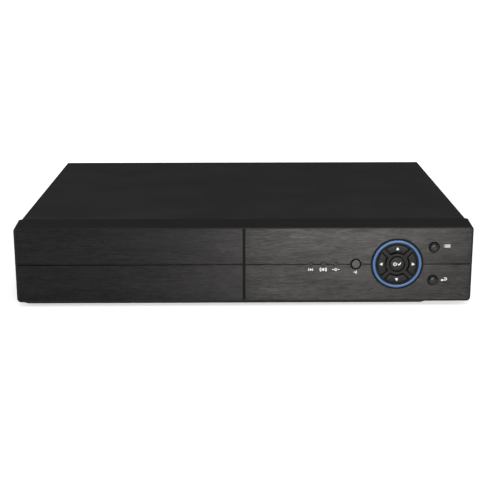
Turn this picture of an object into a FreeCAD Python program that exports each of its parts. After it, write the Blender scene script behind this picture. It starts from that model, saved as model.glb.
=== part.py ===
import FreeCAD, Part
import Sketcher
import math
import os

# A digital video recorder in a folded-steel case with a moulded front, modelled in millimetres.
# Frame: +X to the right seen from the front, +Y to the back, +Z up. The origin is under the middle of
# the whole object, at the height of the surface that its feet stand on.

SIZES = {
    "case": {
        "overall_depth": 242.0,    # crowns of the domed keys to the tips of the rear sockets
        "socket_reach": 12.0,      # tips of the rear sockets beyond the rear wall
        "case_height": 50.2,       # bezel and cover, without the feet
        "foot_height": 3.0,
        "foot_radius": 8.0,
        "foot_taper": 1.0,
        "foot_side": 130.0,
        "foot_front": 80.0,
        "foot_rear": 92.0,
        "sheet": 1.0,              # steel thickness of tray and cover
        "bend_radius": 1.4,
        "fit_gap": 0.2,            # play between folded parts
        "cover_width": 296.0,
        "cover_flange": 7.0,       # rear edge of the cover, folded down over the rear wall
        "cover_hem": 3.5,
        "tray_flange": 13.0,
        "tray_front_wall": 42.0,
        "cover_screw_height": 7.5,
        "cover_screw_front": 70.0,
        "cover_screw_rear": 86.0,
        "rear_screw_side": 132.0,
        "vent_width": 2.6,
        "vent_height": 19.0,
        "vent_pitch": 6.5,
        "vent_count": 14,
        "vent_low": 20.0,
        "vent_start": 22.0,
    },
    "bezel": {
        "bezel_depth": 24.0,
        "bezel_front_width": 297.0,
        "bezel_back_width": 300.0,
        "bezel_wall": 2.2,
        "bezel_top_round": 2.0,
        "bezel_low_round": 2.6,
        "bezel_edge_round": 0.9,
        "lip_drop": 0.9,
        "lip_left": 144.5,
        "lip_right": 119.0,
        "lip_slope": 3.0,
        "fascia_thick": 0.8,
        "fascia_side_margin": 1.4,
        "fascia_top_margin": 0.9,
        "fascia_low_margin": 1.3,
        "fascia_round": 1.6,
        "fascia_split": 1.8,       # dark gap between the two fascia plates
        "groove_height": 25.5,     # above the bottom of the bezel
        "groove_width": 1.0,
        "groove_depth": 0.45,
        "boss_radius": 3.2,
        "boss_side": 141.0,
        "boss_low": 8.5,
        "boss_high": 34.0,
    },
    "controls": {
        "dpad_side": 99.5,
        "rim_radius": 17.1,
        "rim_wall": 0.65,
        "ring_outer": 16.35,
        "ring_inner": 13.65,
        "ring_round": 1.1,
        "inner_wall_outer": 13.5,
        "inner_wall": 0.5,
        "dpad_flange": 20.5,
        "web_thick": 2.6,
        "web_outer": 7.1,
        "web_inner": 5.3,
        "spoke_width": 2.3,
        "arrow_key_outer": 12.65,
        "arrow_key_inner": 7.95,
        "arrow_key_gap": 1.65,     # from a diagonal to the straight edge of a key
        "arrow_switch": 10.3,
        "ok_radius": 4.65,
        "key_proud": 0.6,
        "key_cap": 3.1,            # key cap behind the fascia's face
        "key_flange": 0.7,
        "key_round": 0.35,
        "key_travel": 0.5,
        "stem_radius": 1.5,
        "side_key_x": 123.2,
        "side_key_rise": 11.1,
        "side_key_radius": 3.35,
        "side_key_proud": 2.0,
        "side_key_hole": 3.65,
        "window_x": 72.7,
        "window_radius": 3.55,
        "window_proud": 0.5,
        "pipe_radius": 1.45,
        "pipe_first": 43.3,
        "pipe_pitch": 8.2,
    },
    "boards": {
        "board_thick": 1.6,
        "front_board_set": 11.8,   # front board behind the fascia's face
        "front_board_left": 33.0,
        "front_board_right": 137.0,
        "front_board_half": 17.5,
        "front_screw_side": 4.5,
        "front_screw_rise": 13.5,
        "switch_side": 6.0,
        "switch_height": 3.5,
        "plunger_radius": 1.7,
        "plunger_length": 3.0,
        "led_width": 2.0,
        "led_depth": 1.2,
        "led_height": 0.8,
        "standoff_height": 6.0,
        "standoff_radius": 2.9,
        "main_board_half": 137.0,
        "main_board_front": 34.0,
        "main_board_step": 92.0,
        "main_board_back": 106.0,
    },
    "screw": {
        "head_radius": 2.75,
        "head_height": 1.6,
        "screw_radius": 1.45,
        "screw_hole": 1.5,
        "screw_length": 6.0,
        "recess_width": 0.7,
        "recess_length": 3.0,
        "recess_depth": 0.9,
    },
    "sockets": {
        "bnc_first": -126.0,
        "bnc_pitch": 16.0,
        "bnc_out": -55.0,
        "bnc_low": 19.8,
        "bnc_barrel": 4.83,
        "bnc_barrel_length": 4.2,
        "bnc_neck": 4.6,
        "bnc_bore": 4.1,
        "bnc_flange": 6.2,
        "bnc_hole": 6.6,
        "bnc_lug": 5.5,
        "rca_side": -38.0,
        "rca_low": 18.4,
        "rca_pitch": 14.0,
        "rca_sleeve": 4.15,
        "vga_side": -12.0,
        "vga_lock_pitch": 25.0,
        "vga_lock_bore": 1.3,
        "hdmi_side": 18.0,
        "usb_side": 38.0,
        "lan_side": 58.0,
        "dc_side": 128.0,
        "dc_bore": 2.95,
        "dc_pin": 1.0,
    },
    "fan": {
        "fan_side": 99.0,
        "fan_size": 40.0,
        "fan_thick": 10.0,
        "fan_height": 26.5,
        "fan_bore": 18.9,
        "fan_screw_pitch": 32.0,
        "rotor_tip": 18.1,
        "rotor_hub": 11.8,
        "blade_count": 7,
    },
    "drive": {
        "drive_length": 147.0,
        "drive_width": 101.6,
        "drive_height": 26.1,
        "drive_left": -140.0,
        "drive_front": -90.0,
        "drive_lift": 3.0,         # bosses under the drive
    },
}

CUTS = []
SUB_PARTS = []
V = FreeCAD.Vector
RUN_SHARE = 0.4    # how much of the shorter run beside a bend the bend takes up


class Size:
    """A length: the expression that binds it to the sheet, and what it comes to."""

    def __init__(self, text, value):
        self.text = text
        self.value = float(value)

    def _join(self, other, sign, value, flipped=False):
        texts = (as_size(other).text, self.text) if flipped else (self.text, as_size(other).text)
        return Size(f"({texts[0]} {sign} {texts[1]})", value)

    def __add__(self, other):
        return self._join(other, "+", self.value + as_size(other).value)

    def __radd__(self, other):
        return self + other

    def __sub__(self, other):
        return self._join(other, "-", self.value - as_size(other).value)

    def __rsub__(self, other):
        return self._join(other, "-", as_size(other).value - self.value, flipped=True)

    def __mul__(self, other):
        return self._join(other, "*", self.value * as_size(other).value)

    def __rmul__(self, other):
        return self * other

    def __truediv__(self, other):
        return self._join(other, "/", self.value / as_size(other).value)

    def __neg__(self):
        return self * -1


def as_size(value):
    return value if isinstance(value, Size) else Size(f"({value})", value)


class Sheet:
    """The spreadsheet of driving dimensions. Each alias reads as a Size."""

    def __init__(self, doc):
        self._values = {}
        sheet = doc.addObject("Spreadsheet::Sheet", "Dims")
        row = 1
        for group, cells in SIZES.items():
            sheet.set(f"A{row}", group)
            row += 1
            for alias, value in cells.items():
                sheet.set(f"A{row}", alias)
                sheet.set(f"B{row}", str(value))
                sheet.setAlias(f"B{row}", alias)
                self._values[alias] = value
                row += 1
        doc.recompute()

    def __getattr__(self, alias):
        return Size(f"Dims.{alias}", self._values[alias])


doc = FreeCAD.newDocument("video_recorder")
dim = Sheet(doc)

# Planes and heights that several sub-parts share.
face_y = dim.side_key_proud - dim.overall_depth / 2
wall_in_y = face_y + dim.fascia_thick + dim.bezel_wall     # inner face of the bezel's front wall
bezel_back_y = face_y + dim.bezel_depth
tray_front_y = bezel_back_y + dim.fit_gap
tip_y = dim.overall_depth / 2
rear_y = tip_y - dim.socket_reach                          # outer face of the rear wall
rear_in_y = rear_y - dim.sheet
behind_wall_y = rear_in_y - dim.fit_gap                    # where the sockets' housings end
base_z = dim.foot_height
floor_z = base_z + dim.sheet
top_z = base_z + dim.case_height
under_cover_z = top_z - dim.sheet
tray_top_z = under_cover_z - dim.fit_gap
groove_z = base_z + dim.groove_height
cover_half = dim.cover_width / 2
tray_half = cover_half - dim.sheet - dim.fit_gap
board_front_y = face_y + dim.front_board_set
board_back_y = board_front_y + dim.board_thick
board_low_z = floor_z + dim.standoff_height
board_z = board_low_z + dim.board_thick
drive_low_z = floor_z + dim.drive_lift
drive_right = dim.drive_left + dim.drive_length
drive_back = dim.drive_front + dim.drive_width
bnc_high = dim.bnc_low + dim.bnc_pitch
bnc_columns = [dim.bnc_first + dim.bnc_pitch * n for n in range(4)]
bnc_places = [(x, z) for z in (dim.bnc_low, bnc_high) for x in bnc_columns] + [(dim.bnc_out, dim.bnc_low)]
rear_screw_z = top_z - dim.cover_flange / 2 - 0.6
ring_middle = (dim.ring_outer + dim.ring_inner) / 2
side_key_floor = wall_in_y + 0.3                           # back of the domed keys' caps
LAMPS_IN_RING = 8
STANDOFFS = [(-131, 40), (-131, 80), (0, 40), (72, 99), (131, 40), (131, 82)]
DRIVE_HOLES = [(x, y) for x in (61.27, 105.72) for y in (3.18, 98.42)]
CHIPS = {    # middle x and y, width, depth and height
    "processor": (-20, 62, 19, 19, 1.4),
    "memory_front": (-56, 50, 10, 12, 1.1),
    "memory_back": (-56, 66, 10, 12, 1.1),
    "video_decoder_right": (-84, 62, 14, 14, 1.2),
    "video_decoder_left": (-108, 62, 14, 14, 1.2),
    "flash": (10, 47, 8, 6, 1.5),
    "network": (57, 62, 8, 8, 1.0),
    "network_transformer": (57, 76, 16, 9, 5.5),
}
AXIS_TURNS = {
    "x": FreeCAD.Rotation(V(0, 1, 0), 90),
    "y": FreeCAD.Rotation(V(1, 0, 0), -90),
    "z": FreeCAD.Rotation(),
}


# ---- Small tools for bound objects ----


def bind(thing, path, size):
    thing.setExpression(path, as_size(size).text)


def place(thing, x=0, y=0, z=0, turn=None):
    """Puts an object at bound coordinates, turned by a fixed rotation."""
    thing.Placement = FreeCAD.Placement(V(0, 0, 0), turn or FreeCAD.Rotation())
    for letter, size in zip("xyz", (x, y, z)):
        bind(thing, f".Placement.Base.{letter}", size)
    return thing


def keep(thing, label):
    """Marks an object as a sub-part, whose label names its file."""
    thing.Label = label
    SUB_PARTS.append(thing)
    return thing


def box(x, y, z):
    """A Part::Box over three (low, high) spans."""
    made = doc.addObject("Part::Box", "Box")
    for side, (low, high) in zip(("Length", "Width", "Height"), (x, y, z)):
        bind(made, side, as_size(high) - low)
    return place(made, x[0], y[0], z[0])


def rod(axis, centre, span, radius):
    """A Part::Cylinder along an axis. Its centre holds the other two coordinates, in X, Y, Z order."""
    made = doc.addObject("Part::Cylinder", "Rod")
    bind(made, "Radius", radius)
    bind(made, "Height", as_size(span[1]) - span[0])
    spot = list(centre)
    spot.insert("xyz".index(axis), span[0])
    return place(made, *spot, turn=AXIS_TURNS[axis])


def fuse(*shapes):
    made = doc.addObject("Part::MultiFuse", "Fuse")
    made.Shapes = list(shapes)
    return made


def cut(base, *tools):
    made = doc.addObject("Part::Cut", "Cut")
    made.Base = base
    made.Tool = tools[0] if len(tools) == 1 else fuse(*tools)
    CUTS.append((made, base))
    return made


def group(*solids):
    made = doc.addObject("Part::Compound", "Group")
    made.Links = list(solids)
    return made


def copy_of(master, x=0, y=0, z=0, turn=None):
    link = doc.addObject("App::Link", "Copy")
    link.LinkedObject = master
    return place(link, x, y, z, turn)


# ---- PartDesign: bodies, sketches and features ----


class Outline:
    """A sketch on a body's own origin plane, at a bound level, with every point dimensioned."""

    NORMALS = {"XY": 1, "XZ": -1, "YZ": 1}

    def __init__(self, body, plane, level=0, turn=0):
        self.plane = plane
        self.sketch = body.newObject("Sketcher::SketchObject", "Sketch")
        datum = [o for o in body.Origin.OriginFeatures if o.Role == f"{plane}_Plane"][0]
        self.sketch.AttachmentSupport = [(datum, "")]
        self.sketch.MapMode = "FlatFace"
        self.sketch.AttachmentOffset = FreeCAD.Placement(V(0, 0, 0), FreeCAD.Rotation(V(0, 0, 1), turn))
        bind(self.sketch, "AttachmentOffset.Base.z", as_size(level) * self.NORMALS[plane])

    def _hold(self, kind, size, *where):
        number = self.sketch.addConstraint(Sketcher.Constraint(kind, *where, as_size(size).value))
        bind(self.sketch, f"Constraints[{number}]", size)

    def _fix(self, geometry, point, spot):
        self._hold("DistanceX", spot[0], -1, 1, geometry, point)
        self._hold("DistanceY", spot[1], -1, 1, geometry, point)

    def _line(self, start, end):
        ends = [V(as_size(p[0]).value, as_size(p[1]).value, 0) for p in (start, end)]
        return self.sketch.addGeometry(Part.LineSegment(*ends))

    def polygon(self, points):
        lines = [self._line(a, b) for a, b in zip(points, points[1:] + points[:1])]
        for line, after in zip(lines, lines[1:] + lines[:1]):
            self.sketch.addConstraint(Sketcher.Constraint("Coincident", line, 2, after, 1))
        for line, point in zip(lines, points):
            self._fix(line, 1, point)
        return self

    def rectangle(self, x, y):
        return self.polygon([(x[0], y[0]), (x[1], y[0]), (x[1], y[1]), (x[0], y[1])])

    def circle(self, centre, radius):
        spot = V(as_size(centre[0]).value, as_size(centre[1]).value, 0)
        number = self.sketch.addGeometry(Part.Circle(spot, V(0, 0, 1), as_size(radius).value))
        self._fix(number, 3, centre)
        self._hold("Radius", radius, number)
        return self

    def rounded(self, x, y, radius):
        """A rectangle with round corners."""
        low_x, high_x, low_y, high_y = (as_size(x[0]) + radius, as_size(x[1]) - radius,
                                        as_size(y[0]) + radius, as_size(y[1]) - radius)
        return self._arcs(radius, [(high_x, low_y, -90, 0), (high_x, high_y, 0, 90),
                                   (low_x, high_y, 90, 180), (low_x, low_y, 180, 270)])

    def slot(self, x, y):
        """An upright slot with half-round ends."""
        radius = (as_size(x[1]) - x[0]) / 2
        middle_x = as_size(x[0]) + radius
        return self._arcs(radius, [(middle_x, as_size(y[1]) - radius, 0, 180),
                                   (middle_x, as_size(y[0]) + radius, 180, 360)])

    def _arcs(self, radius, corners):
        """Arcs of one radius, each given by its centre and angles, joined by tangent lines."""
        arcs = []
        for cx, cy, *angles in corners:
            circle = Part.Circle(V(cx.value, cy.value, 0), V(0, 0, 1), as_size(radius).value)
            arcs.append(self.sketch.addGeometry(Part.ArcOfCircle(circle, *map(math.radians, angles))))
            self._fix(arcs[-1], 3, (cx, cy))
            self._hold("Radius", radius, arcs[-1])
        for arc, after in zip(arcs, arcs[1:] + arcs[:1]):
            ends = self.sketch.getPoint(arc, 2), self.sketch.getPoint(after, 1)
            line = self.sketch.addGeometry(Part.LineSegment(*ends))
            self.sketch.addConstraint(Sketcher.Constraint("Tangent", arc, 2, line, 1))
            self.sketch.addConstraint(Sketcher.Constraint("Tangent", line, 2, after, 1))
        return self


def new_body(label=None):
    body = doc.addObject("PartDesign::Body", label or "Master")
    return keep(body, label) if label else body


def pad(body, outline, thickness, taper=0):
    """Adds material from the outline's level towards the positive axis."""
    made = body.newObject("PartDesign::Pad", "Pad")
    made.Profile = outline.sketch
    made.Reversed = outline.plane == "XZ"
    bind(made, "Length", thickness)
    if taper:
        made.TaperAngle = taper
    return made


def pocket(body, outline, depth):
    """Takes material away from the outline's level towards the positive axis."""
    base = body.Tip
    made = body.newObject("PartDesign::Pocket", "Pocket")
    made.Profile = outline.sketch
    made.Reversed = outline.plane != "XZ"
    bind(made, "Length", depth)
    CUTS.append((made, base))
    return made


def origin_axis(body, letter):
    return [o for o in body.Origin.OriginFeatures if o.Role == f"{letter}_Axis"][0], [""]


def revolve(body, outline, axis):
    made = body.newObject("PartDesign::Revolution", "Revolution")
    made.Profile = outline.sketch
    made.ReferenceAxis = origin_axis(body, axis)
    made.Angle = 360
    return made


def row(body, features, letter, pitch, count):
    """Repeats features along an axis."""
    doc.recompute()
    made = body.newObject("PartDesign::LinearPattern", "Row")
    made.Originals = list(features)
    made.Direction = origin_axis(body, letter)
    bind(made, "Length", as_size(pitch) * (as_size(count) - 1))
    bind(made, "Occurrences", count)
    body.Tip = made
    return made


def ring(body, features, letter, count):
    """Repeats features round an axis of the body."""
    doc.recompute()
    made = body.newObject("PartDesign::PolarPattern", "Ring")
    made.Originals = list(features)
    made.Axis = origin_axis(body, letter)
    made.Angle = 360
    bind(made, "Occurrences", count)
    body.Tip = made
    return made


def dress(body, kind, radius, wanted):
    """A fillet or chamfer on the edges that the test picks."""
    doc.recompute()
    base = body.Tip
    names = [f"Edge{n}" for n, edge in enumerate(base.Shape.Edges, 1) if wanted(edge)]
    if not names:
        raise RuntimeError(f"{body.Label}: no edge was picked")
    made = body.newObject(f"PartDesign::{kind}", kind)
    made.Base = (base, names)
    bind(made, "Radius" if kind == "Fillet" else "Size", radius)
    return made


def middle(edge):
    return edge.valueAt((edge.FirstParameter + edge.LastParameter) / 2)


def runs_along(edge, letter):
    """True for a straight edge within a degree or two of an axis."""
    ends = edge.Vertexes
    if len(ends) != 2 or edge.Curve.TypeId != "Part::GeomLine":
        return False
    way = (ends[1].Point - ends[0].Point).normalize()
    return abs(way["xyz".index(letter)]) > 0.99


def near(value, size, within=0.02):
    return abs(value - as_size(size).value) < within


# ---- Case ----


def chassis_tray():
    """Folded steel tray: base, front wall, low side flanges and the rear wall with the socket holes."""
    body = new_body("chassis_tray")
    depth = (tray_front_y, rear_y)
    width = (-tray_half, tray_half)
    pad(body, Outline(body, "XY", base_z).rectangle(width, depth), dim.sheet)
    pad(body, Outline(body, "XZ", rear_in_y).rectangle(width, (base_z, tray_top_z)), dim.sheet)
    front = Outline(body, "XZ", tray_front_y).rectangle(width, (base_z, base_z + dim.tray_front_wall))
    pad(body, front, dim.sheet)
    for x in (-tray_half, tray_half - dim.sheet):
        flange = Outline(body, "YZ", x).rectangle(depth, (base_z, base_z + dim.tray_flange))
        pad(body, flange, dim.sheet)
    bosses = Outline(body, "XY", floor_z)
    for x, y in DRIVE_HOLES:
        bosses.circle((dim.drive_left + x, dim.drive_front + y), 4.5)
    pad(body, bosses, dim.drive_lift)
    dress(body, "Fillet", dim.bend_radius / 2,
          lambda e: near(middle(e).z, base_z) and not near(middle(e).y, tray_front_y))

    holes = Outline(body, "XY", base_z)
    for x, y in DRIVE_HOLES:
        holes.circle((dim.drive_left + x, dim.drive_front + y), dim.screw_hole)
    pocket(body, holes, dim.sheet + dim.drive_lift)
    vents = Outline(body, "XY", base_z).slot((40, 43), (-70, -30))
    row(body, [pocket(body, vents, dim.sheet)], "X", 9, 9)

    sides = Outline(body, "YZ", -tray_half - 1)
    for y in (-dim.cover_screw_front, dim.cover_screw_rear):
        sides.circle((y, base_z + dim.cover_screw_height), dim.screw_hole)
    pocket(body, sides, tray_half * 2 + 2)

    front = Outline(body, "XZ", tray_front_y)
    front.rounded((46, 126), (base_z + 9, base_z + 37), 2)
    front.rounded((-124, 0), (base_z + 9, base_z + 30), 2)
    for x in (-dim.boss_side, dim.boss_side):
        for rise in (dim.boss_low, dim.boss_high):
            front.circle((x, base_z + rise), dim.screw_hole)
    pocket(body, front, dim.sheet)
    rear_openings(body)
    return body


def rear_openings(body):
    """Cuts the rear wall for the sockets, the fan's air and screws, and the cover's screws."""
    holes = Outline(body, "XZ", rear_in_y)
    for x, z in bnc_places:
        holes.circle((x, z), dim.bnc_hole)
    for n in range(2):
        holes.circle((dim.rca_side, dim.rca_low + dim.rca_pitch * n), 5.6)
    holes.rounded((dim.vga_side - 9.2, dim.vga_side + 9.2), (board_z + 1.6, board_z + 11), 2)
    for side in (-1, 1):
        holes.circle((dim.vga_side + dim.vga_lock_pitch / 2 * side, board_z + 6.3), 2.0)
    holes.rounded((dim.hdmi_side - 7.8, dim.hdmi_side + 7.8), (board_z - 0.2, board_z + 6.4), 0.5)
    holes.rounded((dim.usb_side - 7.6, dim.usb_side + 7.6), (board_z - 0.2, board_z + 16.0), 0.5)
    holes.rounded((dim.lan_side - 8.4, dim.lan_side + 8.4), (board_z - 0.2, board_z + 14.0), 0.5)
    holes.circle((dim.dc_side, board_z + 6.5), 4.9)
    for x in (-dim.rear_screw_side, 0, dim.rear_screw_side):
        holes.circle((x, rear_screw_z), dim.screw_hole)
    for x, z in fan_corners():
        holes.circle((x, z), dim.screw_hole)
    pocket(body, holes, dim.sheet)
    grille = Outline(body, "XZ", rear_in_y)
    grille.circle((dim.fan_side, dim.fan_height), 1.7)
    for rings in range(1, 4):
        for step in range(6 * rings):
            angle = 2 * math.pi * step / (6 * rings)
            radius = 5.0 * rings
            grille.circle((dim.fan_side + radius * math.cos(angle),
                           dim.fan_height + radius * math.sin(angle)), 1.7)
    pocket(body, grille, dim.sheet)


def fan_corners():
    reach = dim.fan_screw_pitch / 2
    return [(dim.fan_side + reach * i, dim.fan_height + reach * j) for i in (-1, 1) for j in (-1, 1)]


def top_cover():
    """Folded steel cover: top, two sides, a rear flange over the rear wall and a front hem."""
    body = new_body("top_cover")
    low = base_z + 0.4
    inside = cover_half - dim.sheet
    profile = Outline(body, "XZ", tray_front_y).polygon([
        (-cover_half, low), (-cover_half, top_z), (cover_half, top_z), (cover_half, low),
        (inside, low), (inside, under_cover_z), (-inside, under_cover_z), (-inside, low)])
    back = rear_y + dim.fit_gap + dim.sheet
    pad(body, profile, back - tray_front_y)
    flange = Outline(body, "XZ", rear_y + dim.fit_gap).rectangle(
        (-inside + 0.5, inside - 0.5), (top_z - dim.cover_flange, top_z - dim.sheet / 2))
    pad(body, flange, dim.sheet)
    hem = Outline(body, "XZ", tray_front_y).rectangle(
        (-inside + 0.5, inside - 0.5), (under_cover_z - dim.cover_hem, top_z - dim.sheet / 2))
    pad(body, hem, dim.sheet)
    dress(body, "Fillet", dim.bend_radius,
          lambda e: runs_along(e, "y") and near(abs(middle(e).x), cover_half) and near(middle(e).z, top_z))
    dress(body, "Fillet", dim.bend_radius / 2,
          lambda e: runs_along(e, "x") and near(middle(e).y, back) and near(middle(e).z, top_z))
    dress(body, "Fillet", 0.3,
          lambda e: runs_along(e, "x") and near(middle(e).y, tray_front_y) and near(middle(e).z, top_z))

    start = rear_y - dim.vent_start - dim.vent_pitch * (dim.vent_count - 1)
    vents = Outline(body, "YZ", -cover_half - 1).slot(
        (start, start + dim.vent_width), (dim.vent_low, dim.vent_low + dim.vent_height))
    row(body, [pocket(body, vents, dim.cover_width + 2)], "Y", dim.vent_pitch, dim.vent_count)
    sides = Outline(body, "YZ", -cover_half - 1)
    for y in (-dim.cover_screw_front, dim.cover_screw_rear):
        sides.circle((y, base_z + dim.cover_screw_height), dim.screw_hole)
    pocket(body, sides, dim.cover_width + 2)
    rear = Outline(body, "XZ", rear_y)
    for x in (-dim.rear_screw_side, 0, dim.rear_screw_side):
        rear.circle((x, rear_screw_z), dim.screw_hole)
    pocket(body, rear, dim.sheet * 2)
    return body


def rubber_feet():
    """Four round feet, each a short cone with a rounded sole, stuck under the tray."""
    body = new_body()
    sole = dim.foot_radius - dim.foot_taper
    half = Outline(body, "XZ").polygon([(0, 0), (sole, 0), (dim.foot_radius, base_z), (0, base_z)])
    revolve(body, half, "Z")
    dress(body, "Fillet", 0.6, lambda e: near(middle(e).z, 0) and e.Curve.TypeId == "Part::GeomCircle")
    spots = [(x, y) for x in (-dim.foot_side, dim.foot_side) for y in (-dim.foot_front, dim.foot_rear)]
    keep(group(*[copy_of(body, x, y) for x, y in spots]), "rubber_feet")


# ---- Front ----


def front_bezel():
    """Moulded front: a hollow box open to the back, with a shallow recess for the two fascia plates."""
    body = new_body("front_bezel")
    front, back = dim.bezel_front_width / 2, dim.bezel_back_width / 2
    shell = Outline(body, "XY", base_z).polygon([
        (-front, face_y), (front, face_y), (back, bezel_back_y), (-back, bezel_back_y)])
    pad(body, shell, dim.case_height)
    dress(body, "Fillet", dim.bezel_top_round,
          lambda e: runs_along(e, "y") and near(middle(e).z, top_z))
    dress(body, "Fillet", dim.bezel_low_round,
          lambda e: runs_along(e, "y") and near(middle(e).z, base_z))
    dress(body, "Fillet", dim.bezel_edge_round, lambda e: near(middle(e).y, face_y))
    # The lip stops short of the right-hand corner.
    lip = Outline(body, "XZ", face_y + 1.2).polygon([
        (-dim.lip_left, base_z + 1), (dim.lip_right, base_z + 1), (dim.lip_right, base_z),
        (dim.lip_right - dim.lip_slope, base_z - dim.lip_drop),
        (dim.lip_slope - dim.lip_left, base_z - dim.lip_drop), (-dim.lip_left, base_z)])
    pad(body, lip, 8)

    wall = dim.bezel_wall
    hollow = Outline(body, "XY", base_z + wall).polygon([
        (wall - front, wall_in_y), (front - wall, wall_in_y),
        (back - wall, bezel_back_y + 1), (wall - back, bezel_back_y + 1)])
    pocket(body, hollow, dim.case_height - wall * 2)
    bosses = Outline(body, "XZ", wall_in_y - 0.5)
    for x in (-dim.boss_side, dim.boss_side):
        for rise in (dim.boss_low, dim.boss_high):
            bosses.circle((x, base_z + rise), dim.boss_radius)
    pad(body, bosses, bezel_back_y - wall_in_y + 0.5)
    posts = Outline(body, "XZ", wall_in_y - 0.5)
    for x, z in front_board_holes():
        posts.circle((x, z), dim.boss_radius)
    pad(body, posts, board_front_y - wall_in_y + 0.5)
    threads = Outline(body, "XZ", wall_in_y + 1.5)
    for x, z in front_board_holes():
        threads.circle((x, z), dim.screw_hole)
    for x in (-dim.boss_side, dim.boss_side):
        for rise in (dim.boss_low, dim.boss_high):
            threads.circle((x, base_z + rise), dim.screw_hole)
    pocket(body, threads, bezel_back_y - wall_in_y)

    recess = Outline(body, "XZ", face_y).rounded(*fascia_span(0), dim.fascia_round)
    pocket(body, recess, dim.fascia_thick)
    holes = control_holes(Outline(body, "XZ", face_y), dim.rim_radius + 0.1, 0.15)
    pocket(body, holes, dim.fascia_thick + wall + 0.5)
    return body


def fascia_span(gap):
    """The width and height of the fascia's recess, drawn in by a gap."""
    reach = dim.bezel_front_width / 2 - dim.fascia_side_margin - gap
    return (-reach, reach), (base_z + dim.fascia_low_margin + gap, top_z - dim.fascia_top_margin - gap)


def control_holes(outline, rim, play):
    """Circles for the direction pad, the two round keys, the window and the light pipes."""
    outline.circle((dim.dpad_side, groove_z), rim)
    for side in (-1, 1):
        outline.circle((dim.side_key_x, groove_z + dim.side_key_rise * side), dim.side_key_hole)
    outline.circle((dim.window_x, groove_z), dim.window_radius + play)
    for n in range(3):
        outline.circle((dim.pipe_first + dim.pipe_pitch * n, groove_z), dim.pipe_radius + play / 3)
    return outline


def front_board_holes():
    left = dim.front_board_left + dim.front_screw_side
    right = dim.front_board_right - dim.front_screw_side
    return [(x, groove_z + dim.front_screw_rise * side) for x in (left, right) for side in (-1, 1)]


def fascia(label, left):
    """One of the two brushed plates, with the shallow groove that runs across both."""
    body = new_body(label)
    (low_x, high_x), heights = fascia_span(0.1)
    split = dim.fascia_split / 2
    span = (low_x, -split) if left else (split, high_x)
    pad(body, Outline(body, "XZ", face_y).rectangle(span, heights), dim.fascia_thick)
    outer = low_x if left else high_x
    dress(body, "Fillet", dim.fascia_round,
          lambda e: runs_along(e, "y") and near(middle(e).x, outer))
    groove = Outline(body, "YZ", span[0] - 1).polygon([
        (face_y - 0.1, groove_z - dim.groove_width / 2), (face_y, groove_z - dim.groove_width / 2),
        (face_y + dim.groove_depth, groove_z - 0.15), (face_y + dim.groove_depth, groove_z + 0.15),
        (face_y, groove_z + dim.groove_width / 2), (face_y - 0.1, groove_z + dim.groove_width / 2)])
    pocket(body, groove, span[1] - span[0] + 2)
    if not left:
        holes = control_holes(Outline(body, "XZ", face_y), dim.rim_radius + 0.1, 0.15)
        pocket(body, holes, dim.fascia_thick)
    return body


# ---- Direction pad: bodies drawn round their own Y axis, then placed ----


def at_dpad(body, turn=0):
    return place(body, dim.dpad_side, 0, groove_z, FreeCAD.Rotation(V(0, 1, 0), turn))


def dpad_frame():
    """Rim, floor, inner wall and the cross-shaped web between the keys."""
    body = new_body("dpad_frame")
    floor_y = wall_in_y + 0.05
    floor = Outline(body, "XZ", floor_y)
    floor.circle((0, 0), dim.dpad_flange).circle((0, 0), dim.inner_wall_outer - dim.inner_wall)
    pad(body, floor, 1.0)
    rim = Outline(body, "XZ", face_y - 0.25)
    rim.circle((0, 0), dim.rim_radius).circle((0, 0), dim.rim_radius - dim.rim_wall)
    pad(body, rim, floor_y - face_y + 0.75)
    inner = Outline(body, "XZ", face_y - 0.1)
    inner.circle((0, 0), dim.inner_wall_outer)
    inner.circle((0, 0), dim.inner_wall_outer - dim.inner_wall)
    pad(body, inner, floor_y - face_y + 0.6)
    web = Outline(body, "XZ", face_y - 0.3)
    web.circle((0, 0), dim.web_outer).circle((0, 0), dim.web_inner)
    pad(body, web, dim.web_thick)
    spoke = Outline(body, "XZ", face_y - 0.3, turn=45).rectangle(
        (-dim.spoke_width / 2, dim.spoke_width / 2), (dim.web_outer - 0.5, dim.inner_wall_outer - 0.2))
    ring(body, [pad(body, spoke, dim.web_thick)], "Y", 4)
    lamps = Outline(body, "XZ", floor_y).circle((0, ring_middle), 1.0)
    ring(body, [pocket(body, lamps, 1.5)], "Y", LAMPS_IN_RING)
    dress(body, "Fillet", 0.25, lambda e: near(middle(e).y, face_y - 0.25)
          and e.Curve.TypeId == "Part::GeomCircle")
    return at_dpad(body)


def light_ring():
    """Clear blue light guide that sits in the frame's channel, with a crowned front."""
    body = new_body("light_ring")
    front = face_y - 0.55
    annulus = Outline(body, "XZ", front)
    annulus.circle((0, 0), dim.ring_outer).circle((0, 0), dim.ring_inner)
    pad(body, annulus, wall_in_y - front)
    dress(body, "Fillet", dim.ring_round, lambda e: near(middle(e).y, front))
    return at_dpad(body)


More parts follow.
